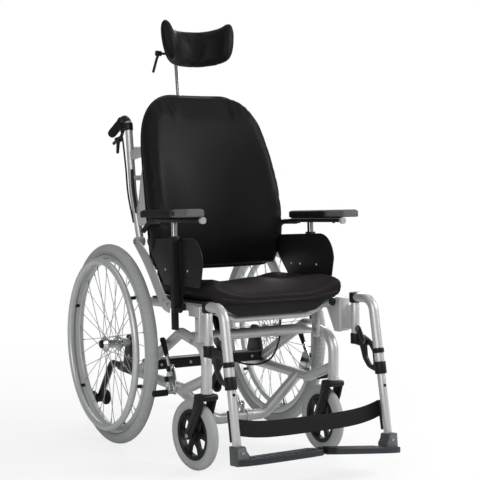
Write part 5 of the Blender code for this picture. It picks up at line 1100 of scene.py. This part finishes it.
def padded_form(name, cage, axes, paint, body, node, cap, held):
    """A soft pad: a smoothed cage with a cover that swells by up to cap."""
    item = rounded_form(name, cage, axes, 3)
    change(item.modifiers.new("skin", "REMESH"), mode="VOXEL", voxel_size=0.006)
    apply_modifiers(item)
    swell(item, (axes.to_3x3() @ Vector(held)).normalized(), cap)
    subdivide(item, 1)
    apply_modifiers(item)
    wrap(item, paint)
    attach(item, body)
    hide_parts(node)


def cage_block(columns, rows, place):
    """A closed cage of two grids, front and rear, each corner moved by place(u, v, w)."""
    cage = bmesh.new()
    bmesh.ops.create_grid(cage, x_segments=columns, y_segments=rows, size=1)
    faces = cage.faces[:]
    top = set(only(bmesh.ops.extrude_face_region(cage, geom=faces)["geom"], BMVert))
    for vert in cage.verts:
        vert.co = place(vert.co.x, (vert.co.y + 1) / 2, 1 if vert in top else 0)
    return cage


class WHEELCHAIR_OT_seat_cushion(bpy.types.Operator):
    """The seat cushion, with its rounded front roll."""
    bl_idname = "wheelchair.seat_cushion"
    bl_label = "Seat cushion"

    def execute(self, context):
        low = PAN_TOP + 0.0004
        rows = (0, 0.045, 0.16, 0.32, 0.50, 0.68, 0.86, 1)

        def place(u, row, w):
            v = rows[round(row * (len(rows) - 1))]
            front = max(0, 1 - v / 0.30)
            sides = 0.003 * front + (0.020 + 0.014 * front) * abs(u) ** 2.4
            thighs = -0.009 * math.sin(math.pi * u) ** 2 * (1 - v)
            dish = -0.006 * front * (1 - abs(u) ** 2.6)
            hump = 0.020 * math.exp(-((u + 0.05) / 0.36) ** 2 - ((v - 0.34) / 0.16) ** 2)
            bowl = -0.012 * math.exp(-((v - 0.72) / 0.22) ** 2) * (1 - u * u)
            edge = -(0.030 if v < 0.5 else 0.020) * (max(abs(2 * v - 1) - 0.72, 0) / 0.28) ** 2
            inset = 1 - 0.05 * abs(2 * v - 1) ** 3
            x = u * (0.208 * inset + 0.030 * max(0, 1 - v / 0.2))
            y = -0.122 + 0.412 * v
            if w:
                return Vector((x, y, low + 0.045 + sides + thighs + dish + hump + bowl + edge))
            under = 1 if row == 0 else 0
            return Vector((x * 0.96, -0.122 + 0.014 * under + 0.412 * (0.02 + 0.96 * v),
                           low - 0.014 * under))

        padded_form("seat_pad", cage_block(8, len(rows) - 1, place), SEAT,
                    "seat_cloth", "seat", "seat_cushion",
                    context.scene.wheelchair_sizes.cloth_swell, (0, 0, -1))
        return {"FINISHED"}


PANEL_MIDDLE = 0.012


def panel_shape():
    """The side panel: a quarter ellipse at the front top, cut away at the rear."""
    corner = [(PANEL_MIDDLE + 0.072 * math.cos(a), 0.215 + 0.074 * math.sin(a), 0)
              for a in [math.pi - math.pi * k / 36 for k in range(19)]]
    return outline([(0.178, 0.150, 0.010), (0.231, 0.206, 0), (0.290, 0.271, 0.004),
                    (0.290, 0.283, 0.004)] + corner[::-1] + [(-0.044, 0.150, 0.012)])


class WHEELCHAIR_OT_armrests(bpy.types.Operator):
    """Side panels with their sleeves, height-adjustable posts, bars and arm pads."""
    bl_idname = "wheelchair.armrests"
    bl_label = "Armrests"

    def execute(self, context):
        for side, sign in SIDES.items():
            sleeve = SLEEVE_X
            s = Shape(SEAT, sign)
            s.plate(panel_shape(), 0.216, 0.004, 0.0008)
            for low, high in (((sleeve - 0.011, 0.071, 0.076), (sleeve + 0.011, 0.0752, 0.293)),
                              ((sleeve - 0.011, 0.0888, 0.076), (sleeve + 0.011, 0.093, 0.293)),
                              ((sleeve - 0.011, 0.0745, 0.076), (sleeve - 0.0072, 0.0895, 0.293)),
                              ((sleeve + 0.0072, 0.0745, 0.076), (sleeve + 0.011, 0.0895, 0.293))):
                s.block(low, high, 0.0010)
            s.block((0.2268, 0.071, 0.0275), (0.2405, 0.093, 0.078), 0.0010)
            s.block((sleeve - 0.0105, 0.0715, 0.076), (sleeve + 0.0105, 0.0925, 0.104), 0.0006)
            s.block((0.217, 0.067, 0.164), (sleeve - 0.009, 0.097, 0.277), 0.002)
            s.block((0.208, 0.062, 0.082), (sleeve - 0.0085, 0.102, 0.102), 0.002)
            s.block((0.2144, 0.064, 0.086), (0.2176, 0.100, 0.160), 0.0012)
            for z in (0.175, 0.230):
                s.block((0.2165, -0.010, z), (0.2185, 0.060, z + 0.003), 0.0006)
            s.paint = 1
            s.rod((sleeve, 0.055, 0.085), (sleeve, 0.071, 0.085), 0.0090, 0.0078, 10)
            s.paint = 2
            for y in (0.030, 0.120, 0.170):
                for face in (-1, 1):
                    x = 0.216 + face * 0.002
                    s.pin((x - face * 0.0004, x + face * 0.0010), (y, 0.195), 0.0045, 0.0032,
                          20, 0.0003)
            s.finish(f"side_shield_{side}", "seat", [f"side_panel_{side}"], "black_plastic",
                     "black", "satin_black", "steel")

            axes = SEAT @ Matrix.Translation((sign * SLEEVE_X, 0.082, 0.293))
            up = 0.011 if side == "right" else 0.0
            bar_top = 0.0396 + up
            bar_low = bar_top - 0.011
            middle = (bar_top + bar_low) / 2
            s = Shape(axes)
            s.block((-0.007, -0.007, up - 0.180), (0.007, 0.007, bar_low + 0.002), 0.0018, 3)
            s.paint = 1
            s.block((-0.011, -0.168, bar_low), (0.011, 0.108, bar_top), 0.0020, 3)
            for y in (-0.126, 0.062):
                s.rod((0, y, bar_low - 0.003), (0, y, bar_low + 0.002), 0.004, sides=16)
            s.paint = 2
            s.tube(rounded([((0, 0.078, middle - 0.0029), 0),
                            ((0, 0.158, 0.031 + up), 0.050), ((0, 0.206, 0.003 + up), 0)]),
                   0.008)
            s.paint = 3
            s.turned([(0.0005, -0.012), (0.0080, -0.012), (0.0095, -0.0105), (0.0095, -0.002),
                      (0.0080, 0), (0.0005, 0)], steps=32, axis="Z",
                     move=Matrix.Translation((0, -0.166, middle - 0.001)) @ REARWARD)
            s.finish(f"arm_carrier_{side}", f"arm_{side}", [f"armrest_post_{side}"],
                     "dark_plastic", "plated", "satin_black", "black", "pale_grey")

            axes = SEAT @ Matrix.Translation((sign * 0.254, 0, 0.336 + up))
            s = Shape(axes, sign)
            pad = outline([(-0.0275, 0, 0.004), (0.0275, 0, 0.004), (0.0275, 0.019, 0.008),
                           (0.016, 0.022, 0.020), (-0.016, 0.022, 0.020),
                           (-0.0275, 0.019, 0.008)])
            s.plate(pad, 0, 0.298, 0.006, 4, facing(0.051))
            s.paint = 1
            runner = -0.0245
            s.block((runner - 0.007, -0.078, -0.003), (runner + 0.007, 0.180, 0.002))
            s.block((0.0262, -0.024, 0.005), (0.0280, -0.004, 0.016), 0.0006)
            s.finish(f"arm_cushion_{side}", f"arm_pad_{side}", [f"armrest_pad_{side}"],
                     "dark_plastic", "pad", "black", angle=40)
        return {"FINISHED"}


BACK_ROWS = [(-0.095, 0.196), (-0.086, 0.211), (0.000, 0.212), (0.200, 0.211),
             (0.330, 0.205), (0.395, 0.183), (0.436, 0.145), (0.450, 0.099)]


def wing(span, u, z, power):
    """How far the sides of the backrest stand forward, more so low down."""
    lower = min(max((0.320 - z) / 0.220, 0), 1)
    return (span[0] + span[1] * lower) * abs(u) ** power


def shell_line(u, z, depth):
    """Where the shell's face lies from front to back, u of the half width across."""
    return -0.055 + depth - wing((0.010, 0.026), u, z, 2.4)


def cushion_line(u, z):
    """Where the cushion's front lies, u of the half width across."""
    v = (z + 0.095) / 0.545 * 2 - 1
    crown = 0.012 + 0.043 * (1 - v ** 4)
    return -0.055 - crown - wing((0.018, 0.104), u, z, 2.2) * (1 - 0.6 * v ** 6)


def back_cage(front, rear, spread=1.0):
    """A closed body between two surfaces over the outline of the backrest."""
    def place(u, v, w):
        z, half = BACK_ROWS[round(v * (len(BACK_ROWS) - 1))]
        return Vector((u * half * spread, (front if w else rear)(u, z), z))

    return cage_block(6, len(BACK_ROWS) - 1, place)


def cane_line(x):
    """The line of a back cane up to the end of its grip, and the way that the grip points."""
    grip = Vector((0, math.cos(math.radians(16)), -math.sin(math.radians(16))))
    corner = Vector((x, 0.030, 0.400))
    return rounded([((x, 0, 0), 0), ((x, 0.030, 0.160), 0.080), (corner, 0.030),
                    (corner + grip * 0.135, 0)]), grip


class WHEELCHAIR_OT_back_frame(bpy.types.Operator):
    """Backrest canes with grips, crossbars, shell, release levers and recline spring."""
    bl_idname = "wheelchair.back_frame"
    bl_label = "Back frame"

    def execute(self, context):
        s = Shape(BACK)
        for sign in SIDES.values():
            s.sign = sign
            s.tube(cane_line(CANE_X)[0], CANE_RADIUS, 32)
            s.pin((0.186, 0.2089), (0, 0), 0.015, sides=36)
            seat = 0.28 * shell_line(0.75, 0.27, 0.0085) + 0.72 * shell_line(1, 0.27, 0.0085)
            s.block((CANE_X - 0.006, seat, 0.255), (CANE_X + 0.006, 0.030, 0.285))
            s.plate(outline([(-0.078, 0.046, 0.006), (0.012, 0.046, 0.006),
                             (0.014, 0.094, 0.006), (-0.014, 0.122, 0.020),
                             (-0.040, 0.190, 0.060), (-0.062, 0.228, 0.004),
                             (-0.078, 0.228, 0.004)]), CANE_X, 0.010, 0.0016)
            for z in (0.070, 0.270):
                s.rod((CANE_X, 0.030 * min(z / 0.160, 1) + 0.008, z),
                      (CANE_X, 0.030 * min(z / 0.160, 1) + 0.014, z), 0.0055, sides=6)
        s.sign = 1
        s.pin((-CANE_X, CANE_X), (0.0225, 0.120), 0.009)
        s.pin((-CANE_X, CANE_X), (0.030, 0.290), 0.009)
        s.pin((-CANE_X, CANE_X), (0.024, 0.200), 0.008)
        ear = outline([(0.015, 0.190, 0.003), (0.055, 0.188, 0.008), (0.055, 0.212, 0.008),
                       (0.015, 0.212, 0.003)])
        for x in (-0.122, -0.098):
            s.plate(ear, x, 0.004)
        s.paint = 1
        for low, high in (((-0.018, 0.026, 0.260), (-0.0072, 0.0715, 0.320)),
                          ((0.0072, 0.026, 0.260), (0.018, 0.0715, 0.320)),
                          ((-0.010, 0.026, 0.260), (0.010, 0.0503, 0.320)),
                          ((-0.010, 0.0647, 0.260), (0.010, 0.0715, 0.320))):
            s.block(low, high, 0.0018)
        s.pin((0.018, 0.030), (0.058, 0.290), 0.0085, 0.0075, 12)
        for sign in SIDES.values():
            s.sign = sign
            path, grip = cane_line(CANE_X)
            cover = [point for point in path[:-1] if point[2] > 0.372]
            s.tube(cover + [path[-1] - grip * 0.088], 0.0122, 32)
            s.rod((CANE_X, 0.030, 0.350), (CANE_X, 0.030, 0.373), 0.0135)
            s.tube(smooth([(0.2000, 0.020, 0.226), (0.2010, 0.019, 0.170),
                           (0.2010, 0.011, 0.120), (0.2000, 0.006, 0.088)], 16),
                   0.0048)
        s.finish("back_canes", "back", ["back_frame"], "silver", "silver", "satin_black")
        board = rounded_form("back_shell",
                             back_cage(lambda u, z: shell_line(u, z, 0.006),
                                       lambda u, z: shell_line(u, z, 0.011)), BACK, 2)
        apply_modifiers(board)
        wrap(board, "black")
        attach(board, "back")

        for side, sign in SIDES.items():
            path, grip = cane_line(sign * CANE_X)
            end = path[-1]
            start = end - grip * 0.089
            s = Shape(BACK)
            turn = grip.to_track_quat("Z", "Y").to_matrix().to_4x4()
            profile = [(0.0122, 0.0), (0.0150, 0.0), (0.0156, 0.002), (0.0156, 0.006),
                       (0.0142, 0.008)]
            for k in range(8):
                z = 0.012 + k * 0.009
                profile += [(0.0142, z), (0.0136, z + 0.001), (0.0136, z + 0.002),
                            (0.0142, z + 0.003)]
            profile += [(0.0140, 0.088), (0.0132, 0.093), (0.0100, 0.095), (0.0008, 0.095),
                        (0.0008, 0.0896), (0.0122, 0.0896)]
            s.turned(profile, steps=40, axis="Z", move=Matrix.Translation(start) @ turn)
            s.finish(f"push_grip_{side}", "back", [f"grip_{side}"], "black_plastic", "grip")
            s = Shape(axis_frame(f"release_squeeze_{side}", BACK_ANGLE))
            reach = Vector((0, 0.088, -0.0374))
            s.tube(rounded([((0, 0, 0), 0), ((0, 0.026, -0.025), 0.016), (reach, 0)]), 0.0052, 20)
            s.ball(reach, 0.0054)
            s.block((-0.008, 0.040, -0.040), (0.008, 0.066, -0.024), 0.003, 3)
            s.rod((0, 0.053, -0.034), (0, 0.064, -0.070), 0.0062, 0.0048)
            s.ball((0, 0.064, -0.070), 0.0049)
            s.pin((-0.007, 0.007), (0, 0), 0.008)
            s.finish(f"squeeze_lever_{side}", f"recline_lever_{side}",
                     [f"release_lever_{side}"], "black_plastic", "satin_black")
        spring("recline", axis_frame("recline_spring_swing", SEAT_ANGLE), RECLINE_REACH,
               (0, 0, 0), 0.35, 0.110, "recline_rod", "recline_body")
        return {"FINISHED"}


class WHEELCHAIR_OT_back_cushion(bpy.types.Operator):
    """The winged backrest cushion."""
    bl_idname = "wheelchair.back_cushion"
    bl_label = "Back cushion"

    def execute(self, context):
        cage = back_cage(cushion_line, lambda u, z: shell_line(u, z, 0.0035), 1.062)
        padded_form("back_pad", cage, BACK, "cloth", "back", "backrest_cushion",
                    context.scene.wheelchair_sizes.cloth_swell, (0, 1, 0))
        return {"FINISHED"}


class WHEELCHAIR_OT_headrest(bpy.types.Operator):
    """The winged headrest pad on its sliding stem, with a clamp lever."""
    bl_idname = "wheelchair.headrest"
    bl_label = "Headrest"

    def execute(self, context):
        axes = BACK @ Matrix.Translation((0, 0.0575, 0))
        s = Shape(axes)
        s.block((-0.006, -0.006, 0.180), (0.006, 0.006, 0.600), 0.0014, 3)
        s.block((-0.006, -0.0475, 0.588), (0.006, 0.006, 0.600), 0.0014, 3)
        s.pin((-0.014, 0.014), (-0.0475, 0.594), 0.010)
        s.finish("head_post", "head_stem", ["headrest_stem"], "chrome", "steel")
        tilt = axis_frame("headrest_tilt", BACK_ANGLE)
        cage = bmesh.new()
        wide = math.radians(78)
        sections = []
        for column in range(9):
            u = column / 4 - 1
            radius = 0.140 / math.sin(wide)
            outer = Vector((radius * math.sin(u * wide),
                            -(0.112 / 0.79) * (1 - math.cos(u * wide)), 0))
            normal = Vector((math.sin(u * wide), math.cos(u * wide), 0))
            inner = outer - normal * 0.044 * (1 + 0.10 * abs(u) ** 3)
            top = Vector((0.004 * u, 0, 0.0625 + 0.021 * abs(u) ** 2.2))
            low = Vector((-0.017 * u, 0, -0.0680 + 0.015 * abs(u) ** 3))
            mid = (outer + inner) / 2
            sections.append([cage.verts.new(point) for point in
                             (outer + low * 0.8, outer + top * 0.8, mid + top,
                              inner + top * 0.8, inner + low * 0.8, mid + low)])
        edges = [cage.edges.new((ring[k], ring[(k + 1) % 6])) for ring in sections
                 for k in range(6)]
        bmesh.ops.bridge_loops(cage, edges=edges)
        cage.faces.new(sections[0])
        cage.faces.new(sections[-1])
        lift = Matrix.Translation((0, -0.018, 0.009))
        padded_form("head_cushion", cage, tilt @ lift, "cloth", "head_pad",
                    "headrest_pad", 0.004, (0, 1, 0))
        s = Shape(tilt)
        for x in (-0.0185, 0.0185):
            s.plate(outline([(-0.034, -0.012, 0.002), (-0.034, 0.012, 0.002),
                             (0.009, 0.009, 0.009), (0.009, -0.009, 0.009)]), x, 0.006)
        s.pin((-0.076, 0.024), (0, 0), 0.004)
        s.pin((0.0205, 0.0245), (0, 0), 0.0075, sides=6)
        s.finish("head_bracket", "head_pad", [], "black_fabric", "satin_black")
        s = Shape(tilt)
        s.tube(rounded([((-0.084, 0, 0), 0), ((-0.090, 0.006, -0.016), 0.010),
                        ((-0.102, 0.0115, -0.056), 0)]), 0.0042, 20)
        s.ball((-0.102, 0.0115, -0.056), 0.0044)
        s.pin((-0.094, -0.0765), (0, 0), 0.009, 0.0085)
        s.finish("head_lever", "head_clamp", ["headrest_clamp_lever"], "black_plastic", "black")
        return {"FINISHED"}


class WHEELCHAIR_OT_legrests(bpy.types.Operator):
    """Swing-away legrests, sliding footrest tubes, folding footplates and the calf strap."""
    bl_idname = "wheelchair.legrests"
    bl_label = "Legrests"

    def execute(self, context):
        down = Vector((0, -math.sin(SHIN_ANGLE), -math.cos(SHIN_ANGLE)))
        knee = Vector((0, -0.085, 0.106))
        ends = {"right": 0.357, "left": 0.377}
        tube_length = 0.253
        for side, sign in SIDES.items():
            inner = -sign
            swing = axis_frame(f"legrest_swing_{side}", SEAT_ANGLE)
            collar = knee + down * 0.139
            collar_end = collar + down * 0.076
            s = Shape(swing, inner)
            s.tube(rounded([((0, 0.004, 0.106), 0), (knee, 0.042), (collar + down * 0.05, 0)]),
                   0.0135, 32)
            s.paint = 1
            s.rod((0, 0, 0.0904), (0, 0, 0.1204), 0.0165, sides=36, bevel=0.003)
            s.rod((0, 0, 0.0604), (0, 0, 0.0924), 0.006)
            s.rod(collar, collar + down * 0.014, 0.0160, sides=36, bevel=0.0018)
            s.rod(collar + down * 0.038, collar_end - down * 0.004, 0.0165, sides=36,
                  bevel=0.0018)
            s.rod((0, 0, -0.0284), (0, 0, 0.0016), 0.0150, sides=32, bevel=0.0015)
            arm = outline([(0.008, -0.0003, 0.003), (0.010, -0.029, 0.004),
                           (-0.026, -0.032, 0.006), (-0.040, -0.068, 0.030),
                           (-0.062, -0.090, 0.030),
                           (collar_end.y + 0.004, collar_end.z + 0.004, 0.004),
                           (collar.y, collar.z - 0.002, 0.004), (-0.062, -0.009, 0.020),
                           (-0.040, -0.0003, 0.010)])
            lens = outline([(-0.050, -0.028, 0.006), (-0.053, -0.060, 0.016),
                            (-0.074, -0.086, 0.006), (-0.090, -0.078, 0.008),
                            (-0.086, -0.044, 0.014), (-0.070, -0.026, 0.010)])
            s.paint = 2
            s.pierced_plate(arm, lens, 0.009)
            s.pin((0.005, 0.0155), (-0.056, -0.018), 0.003)
            s.finish(f"leg_bracket_{side}", f"leg_{side}", [f"legrest_{side}"], "silver",
                     "silver", "black", "satin_black")

            s = Shape(axis_frame(f"legrest_paddle_{side}", SEAT_ANGLE), inner)
            x = 0.0004
            s.plate(outline([(-0.010, -0.004, 0.006), (0.004, -0.010, 0.006),
                             (0.040, 0.032, 0.009), (0.024, 0.048, 0.009)]), x, 0.006, 0.0016)
            s.paint = 1
            s.plate(outline([(0.018, 0.034, 0.006), (0.034, 0.022, 0.006),
                             (0.044, 0.034, 0.007), (0.028, 0.049, 0.007)]), x, 0.0078, 0.0022)
            s.paint = 2
            s.pin((x - 0.004, x + 0.004), (0, 0), 0.0048, sides=6)
            s.finish(f"leg_paddle_look_{side}", f"leg_paddle_{side}",
                     [f"legrest_release_{side}"], "dark_plastic", "satin_black", "mid_grey",
                     "steel")

            start = knee + down * (ends[side] - tube_length)
            slide = (swing @ Matrix.Translation(start)
                     @ Matrix.Rotation(-SHIN_ANGLE, 4, "X"))
            s = Shape(slide, inner)
            s.rod((0, 0, 0), (0, 0, -tube_length - 0.012), 0.0115, sides=36)
            s.paint = 1
            low = 0.012 - tube_length
            s.block((-0.011, 0.0095, low), (0.011, 0.0175, low + 0.082), 0.0022, 3)
            s.rod((0, -0.0105, -0.120), (0, -0.0132, -0.120), 0.0042, sides=20)
            for z in (low + 0.016, low + 0.066):
                s.rod((0, 0.0170, z), (0, 0.0190, z), 0.0040, sides=16)
            level = (Matrix.Translation((0, 0, -tube_length))
                     @ Matrix.Rotation(SHIN_ANGLE - PLATE_PITCH, 4, "X"))
            s.axes = slide @ level
            block = [(-0.015, 0.002), (0.013, 0.002), (0.016, -0.010), (0.025, -0.024),
                     (0.025, -0.048), (-0.015, -0.048)]
            s.paint = 2
            s.plate(block, -0.0035, 0.040, 0.0022, 3, facing())
            s.paint = 3
            s.plate([(-0.012, -0.001), (0.010, -0.001), (0.0125, -0.010), (0.0215, -0.025),
                     (0.0215, -0.044), (-0.012, -0.044)], -0.0236, 0.0016, 0.0006, 2, facing())
            s.paint = 4
            s.rod((0.003, -0.0240, -0.014), (0.003, -0.0262, -0.014), 0.0042, sides=20)
            hinge = Vector((0.035, 0, -0.038))
            s.paint = 1
            for near, far in ((-0.0225, -0.0145), (0.0075, 0.0155)):
                s.block((0.023, near, -0.0435), (hinge.x, far, -0.0325), 0.0012)
                s.rod((hinge.x, near, hinge.z), (hinge.x, far, hinge.z), 0.0062)
            s.paint = 4
            s.rod((hinge.x, -0.0235, hinge.z), (hinge.x, 0.0165, hinge.z), 0.0035)
            s.finish(f"foot_stem_{side}", f"foot_{side}", [f"footrest_tube_{side}"], "silver",
                     "silver", "black", "mid_grey", "step_grey", "steel")

            tip = math.radians(6) if side == "left" else 0.0
            plate = (slide @ level @ Matrix.Translation((inner * hinge.x, 0, hinge.z))
                     @ Matrix.Rotation(tip, 4, "Y"))
            s = Shape(plate, inner)
            edge = [(0.0423, 0.007), (0.0423, 0.015), (0.2220, 0.015), (0.2360, 0.003),
                    (0.2360, -0.046), (0.2000, -0.050), (0.1000, -0.051), (0.0400, -0.049),
                    (0.0050, -0.044), (-0.0120, -0.037), (-0.0140, -0.030),
                    (-0.0100, -0.0255), (0.0423, -0.0255), (0.0423, -0.014),
                    (0.0350, -0.014), (0.0350, 0.007)]
            lay = Matrix(((0, 1, 0, 0), (0, 0, 1, 0), (1, 0, 0, 0), (0, 0, 0, 1)))
            s.plate([(a - 0.035, b) for a, b in edge], 0, 0.016, 0.0022, 3, lay)
            s.rod((0, -0.0138, 0), (0, 0.0068, 0), 0.0076)
            s.paint = 1
            for k in range(9):
                a = 0.022 + k * 0.019
                s.block((a, -0.040, 0.0074), (a + 0.009, 0.008, 0.0086), 0.0005)
            if side == "left":
                s.block((0.173, -0.052, -0.005), (0.201, -0.020, 0.012), 0.0022, 3)
            s.finish(f"foot_board_{side}", f"plate_{side}", [f"footplate_{side}"],
                     "dark_plastic", "slate", "black")
        self.strap(knee, down, ends)
        return {"FINISHED"}

    def strap(self, knee, down, ends):
        """Webbing that hangs a little slack, and comes off the right legrest as that swings."""
        across = Vector((0, math.cos(SHIN_ANGLE), -math.sin(SHIN_ANGLE)))
        back = across * 0.0199
        lift = {"right": 0.0525, "left": 0.0725}
        anchors = {side: Vector((sign * HANGER_X, HANGER_Y, 0)) + knee
                   + down * (ends[side] - lift[side]) for side, sign in SIDES.items()}
        middle = (anchors["right"] + anchors["left"]) / 2 + back
        reach = (anchors["left"] - anchors["right"]) / 2 * 0.975
        part = bmesh.new()
        rise = [part.verts.new(middle - reach + down * 0.022 * k) for k in (-1, -0.5, 0, 0.5, 1)]
        edges = [part.edges.new(pair) for pair in zip(rise, rise[1:])]
        count = 48
        before = middle - reach
        for number in range(1, count + 1):
            u = number / count * 2 - 1
            here = middle + reach * u + down * (0.020 * (1 - u ** 4))
            edges = draw_out(part, edges, here - before)[1]
            before = here
        s = Shape(SEAT)
        bmesh.ops.recalc_face_normals(part, faces=part.faces)
        bmesh.ops.solidify(part, geom=part.faces[:], thickness=0.0026)
        s.add(part)
        band = s.finish("calf_band", "foot_left", ["calf_strap"], "black_web", "web", angle=50)
        SEAT @ (middle + reach)
        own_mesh(band)


class WHEELCHAIR_OT_cables(bpy.types.Operator):
    """The release cables down the right cane and under the front of the seat."""
    bl_idname = "wheelchair.cables"
    bl_label = "Release cables"

    def execute(self, context):
        lever = Vector(JOINTS["release_squeeze_right"]["pos_m"])
        pivot = BACK.inverted() @ lever
        edge = -(CANE_X + CANE_RADIUS + CABLE_RADIUS + 0.001)
        self.cable("cable_behind", "back", "release_cable_back", BACK, 0.3235,
                   [pivot + Vector((-0.004, 0.002, 0.010)), (edge + CABLE_RADIUS, 0.060, 0.356),
                    (edge, 0.046, 0.316), (edge, 0.038, 0.230), (edge, 0.034, 0.150),
                    (edge + 0.0035, 0.016, 0.060)])
        self.cable("cable_below", "seat", "release_cable_seat", SEAT, 0.564,
                   [(0.120, 0.104, 0.1056), (0.120, 0.100, 0.072), (0.105, 0.066, 0.042),
                    (0.098, 0.060, -0.020), (0.070, 0.062, -0.075), (0.020, 0.075, -0.092),
                    (-0.030, 0.100, -0.078), (-0.050, 0.150, -0.030), (-0.034, 0.220, 0.020),
                    (-0.0125, 0.2870, 0.0590)])
        return {"FINISHED"}

    def cable(self, name, body, node, axes, length, points):
        """A sheathed cable along the points."""
        line = smooth(points, 90)
        s = Shape(axes)
        s.tube(line, CABLE_RADIUS, 14)
        piece = s.finish(name, body, [node], "black_plastic", "black")
        route = [axes @ Vector(point) for point in line]
        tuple(route[0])


class WHEELCHAIR_OT_stage(bpy.types.Operator):
    """Plain pale floor, soft studio light and the camera at the photographed angle."""
    bl_idname = "wheelchair.stage"
    bl_label = "Floor, light and camera"

    def execute(self, context):
        scene = context.scene
        scene.view_settings.view_transform = "Standard"
        ground = bmesh.new()
        bmesh.ops.create_grid(ground, x_segments=1, y_segments=1, size=30)
        floor = link_object("floor", ground)
        f = Finish("pale_floor", Base_Color=(0.86, 0.86, 0.86, 1), Roughness=0.9,
                   Specular_IOR_Level=0.1)
        far = f.step(f.node("ShaderNodeVectorMath", {"operation": "LENGTH"}, {0: f.place},
                            "Value"), 0.7, 2.4)
        seen = f.node("ShaderNodeLightPath")
        glow = f.node("ShaderNodeEmission", None, {"Strength": 1.0})
        blend = f.node("ShaderNodeMixShader", None,
                       {0: seen * (0.78 + far * 0.22), 1: Socket(f, f.shader.outputs[0]),
                        2: glow})
        f.tree.links.new(blend.link, f.tree.nodes["Material Output"].inputs["Surface"])
        floor.data.materials.append(f.material)

        world = bpy.data.worlds.new("studio")
        scene.world = world
        sky = Nodes(world)
        back = sky.tree.nodes["Background"]
        back.inputs["Color"].default_value = (1, 1, 1, 1)
        seen = sky.node("ShaderNodeLightPath", output="Is Camera Ray")
        through = Socket(sky, seen.link.node.outputs["Is Transmission Ray"])
        level = sky.node("ShaderNodeMapRange", None,
                         {"To Min": 0.27, "To Max": 1.0, "Value": seen.sum("MAXIMUM", through)})
        sky.tree.links.new(level.link, back.inputs["Strength"])

        for name, place, size, power in (("key", (2.9, -1.9, 2.6), 1.6, 120),
                                         ("fill", (-2.6, -2.6, 2.0), 2.4, 68),
                                         ("top", (0.2, 0.6, 3.4), 2.4, 18),
                                         ("rear", (1.9, 2.6, 2.2), 1.6, 44)):
            lamp = bpy.data.lights.new(name, "AREA")
            lamp.size = size
            lamp.energy = power
            light = bpy.data.objects.new(name, lamp)
            light.location = place
            aim = Vector((0, 0, 0.55)) - Vector(place)
            light.rotation_euler = aim.to_track_quat("-Z", "Y").to_euler()
            scene.collection.objects.link(light)

        lens = bpy.data.cameras.new("camera")
        lens.lens = 87
        lens.sensor_width = 36
        camera = bpy.data.objects.new("camera", lens)
        place = Vector((-1.6934, -3.2616 + AXLE_Y, 0.8542))
        target = Vector((0.1260, -0.0718 + AXLE_Y, 0.6135))
        camera.location = place
        camera.rotation_euler = (target - place).to_track_quat("-Z", "Y").to_euler()
        scene.collection.objects.link(camera)
        scene.camera = camera
        return {"FINISHED"}


STEPS = ("stage", "finishes", "cables", "frame", "rear_wheels", "casters", "anti_tippers",
         "brakes", "seat_frame", "seat_cushion", "armrests", "back_frame", "back_cushion",
         "headrest", "legrests")


class WHEELCHAIR_PT_panel(bpy.types.Panel):
    """Lists the steps that build the wheelchair's looks."""
    bl_idname = "WHEELCHAIR_PT_panel"
    bl_label = "Positioning wheelchair"
    bl_space_type = "VIEW_3D"
    bl_region_type = "UI"
    bl_category = "Wheelchair"

    def draw(self, context):
        for step in STEPS:
            self.layout.operator(f"wheelchair.{step}")
        for group in (context.scene.wheelchair_finishes, context.scene.wheelchair_sizes):
            for name in group.bl_rna.properties.keys():
                if name not in ("rna_type", "name"):
                    self.layout.prop(group, name)


CLASSES = (WheelchairFinishes, WheelchairSizes, WHEELCHAIR_OT_finishes, WHEELCHAIR_OT_frame,
           WHEELCHAIR_OT_rear_wheels, WHEELCHAIR_OT_casters, WHEELCHAIR_OT_anti_tippers,
           WHEELCHAIR_OT_brakes, WHEELCHAIR_OT_seat_frame, WHEELCHAIR_OT_seat_cushion,
           WHEELCHAIR_OT_armrests, WHEELCHAIR_OT_back_frame, WHEELCHAIR_OT_back_cushion,
           WHEELCHAIR_OT_headrest, WHEELCHAIR_OT_legrests, WHEELCHAIR_OT_cables,
           WHEELCHAIR_OT_stage, WHEELCHAIR_PT_panel)


def register():
    for item in CLASSES:
        bpy.utils.register_class(item)
    bpy.types.Scene.wheelchair_finishes = bpy.props.PointerProperty(type=WheelchairFinishes)
    bpy.types.Scene.wheelchair_sizes = bpy.props.PointerProperty(type=WheelchairSizes)


def unregister():
    del bpy.types.Scene.wheelchair_sizes
    del bpy.types.Scene.wheelchair_finishes
    for item in reversed(CLASSES):
        bpy.utils.unregister_class(item)


def main():
    register()
    for step in STEPS:
        getattr(bpy.ops.wheelchair, step)()


if __name__ == "__main__":
    main()
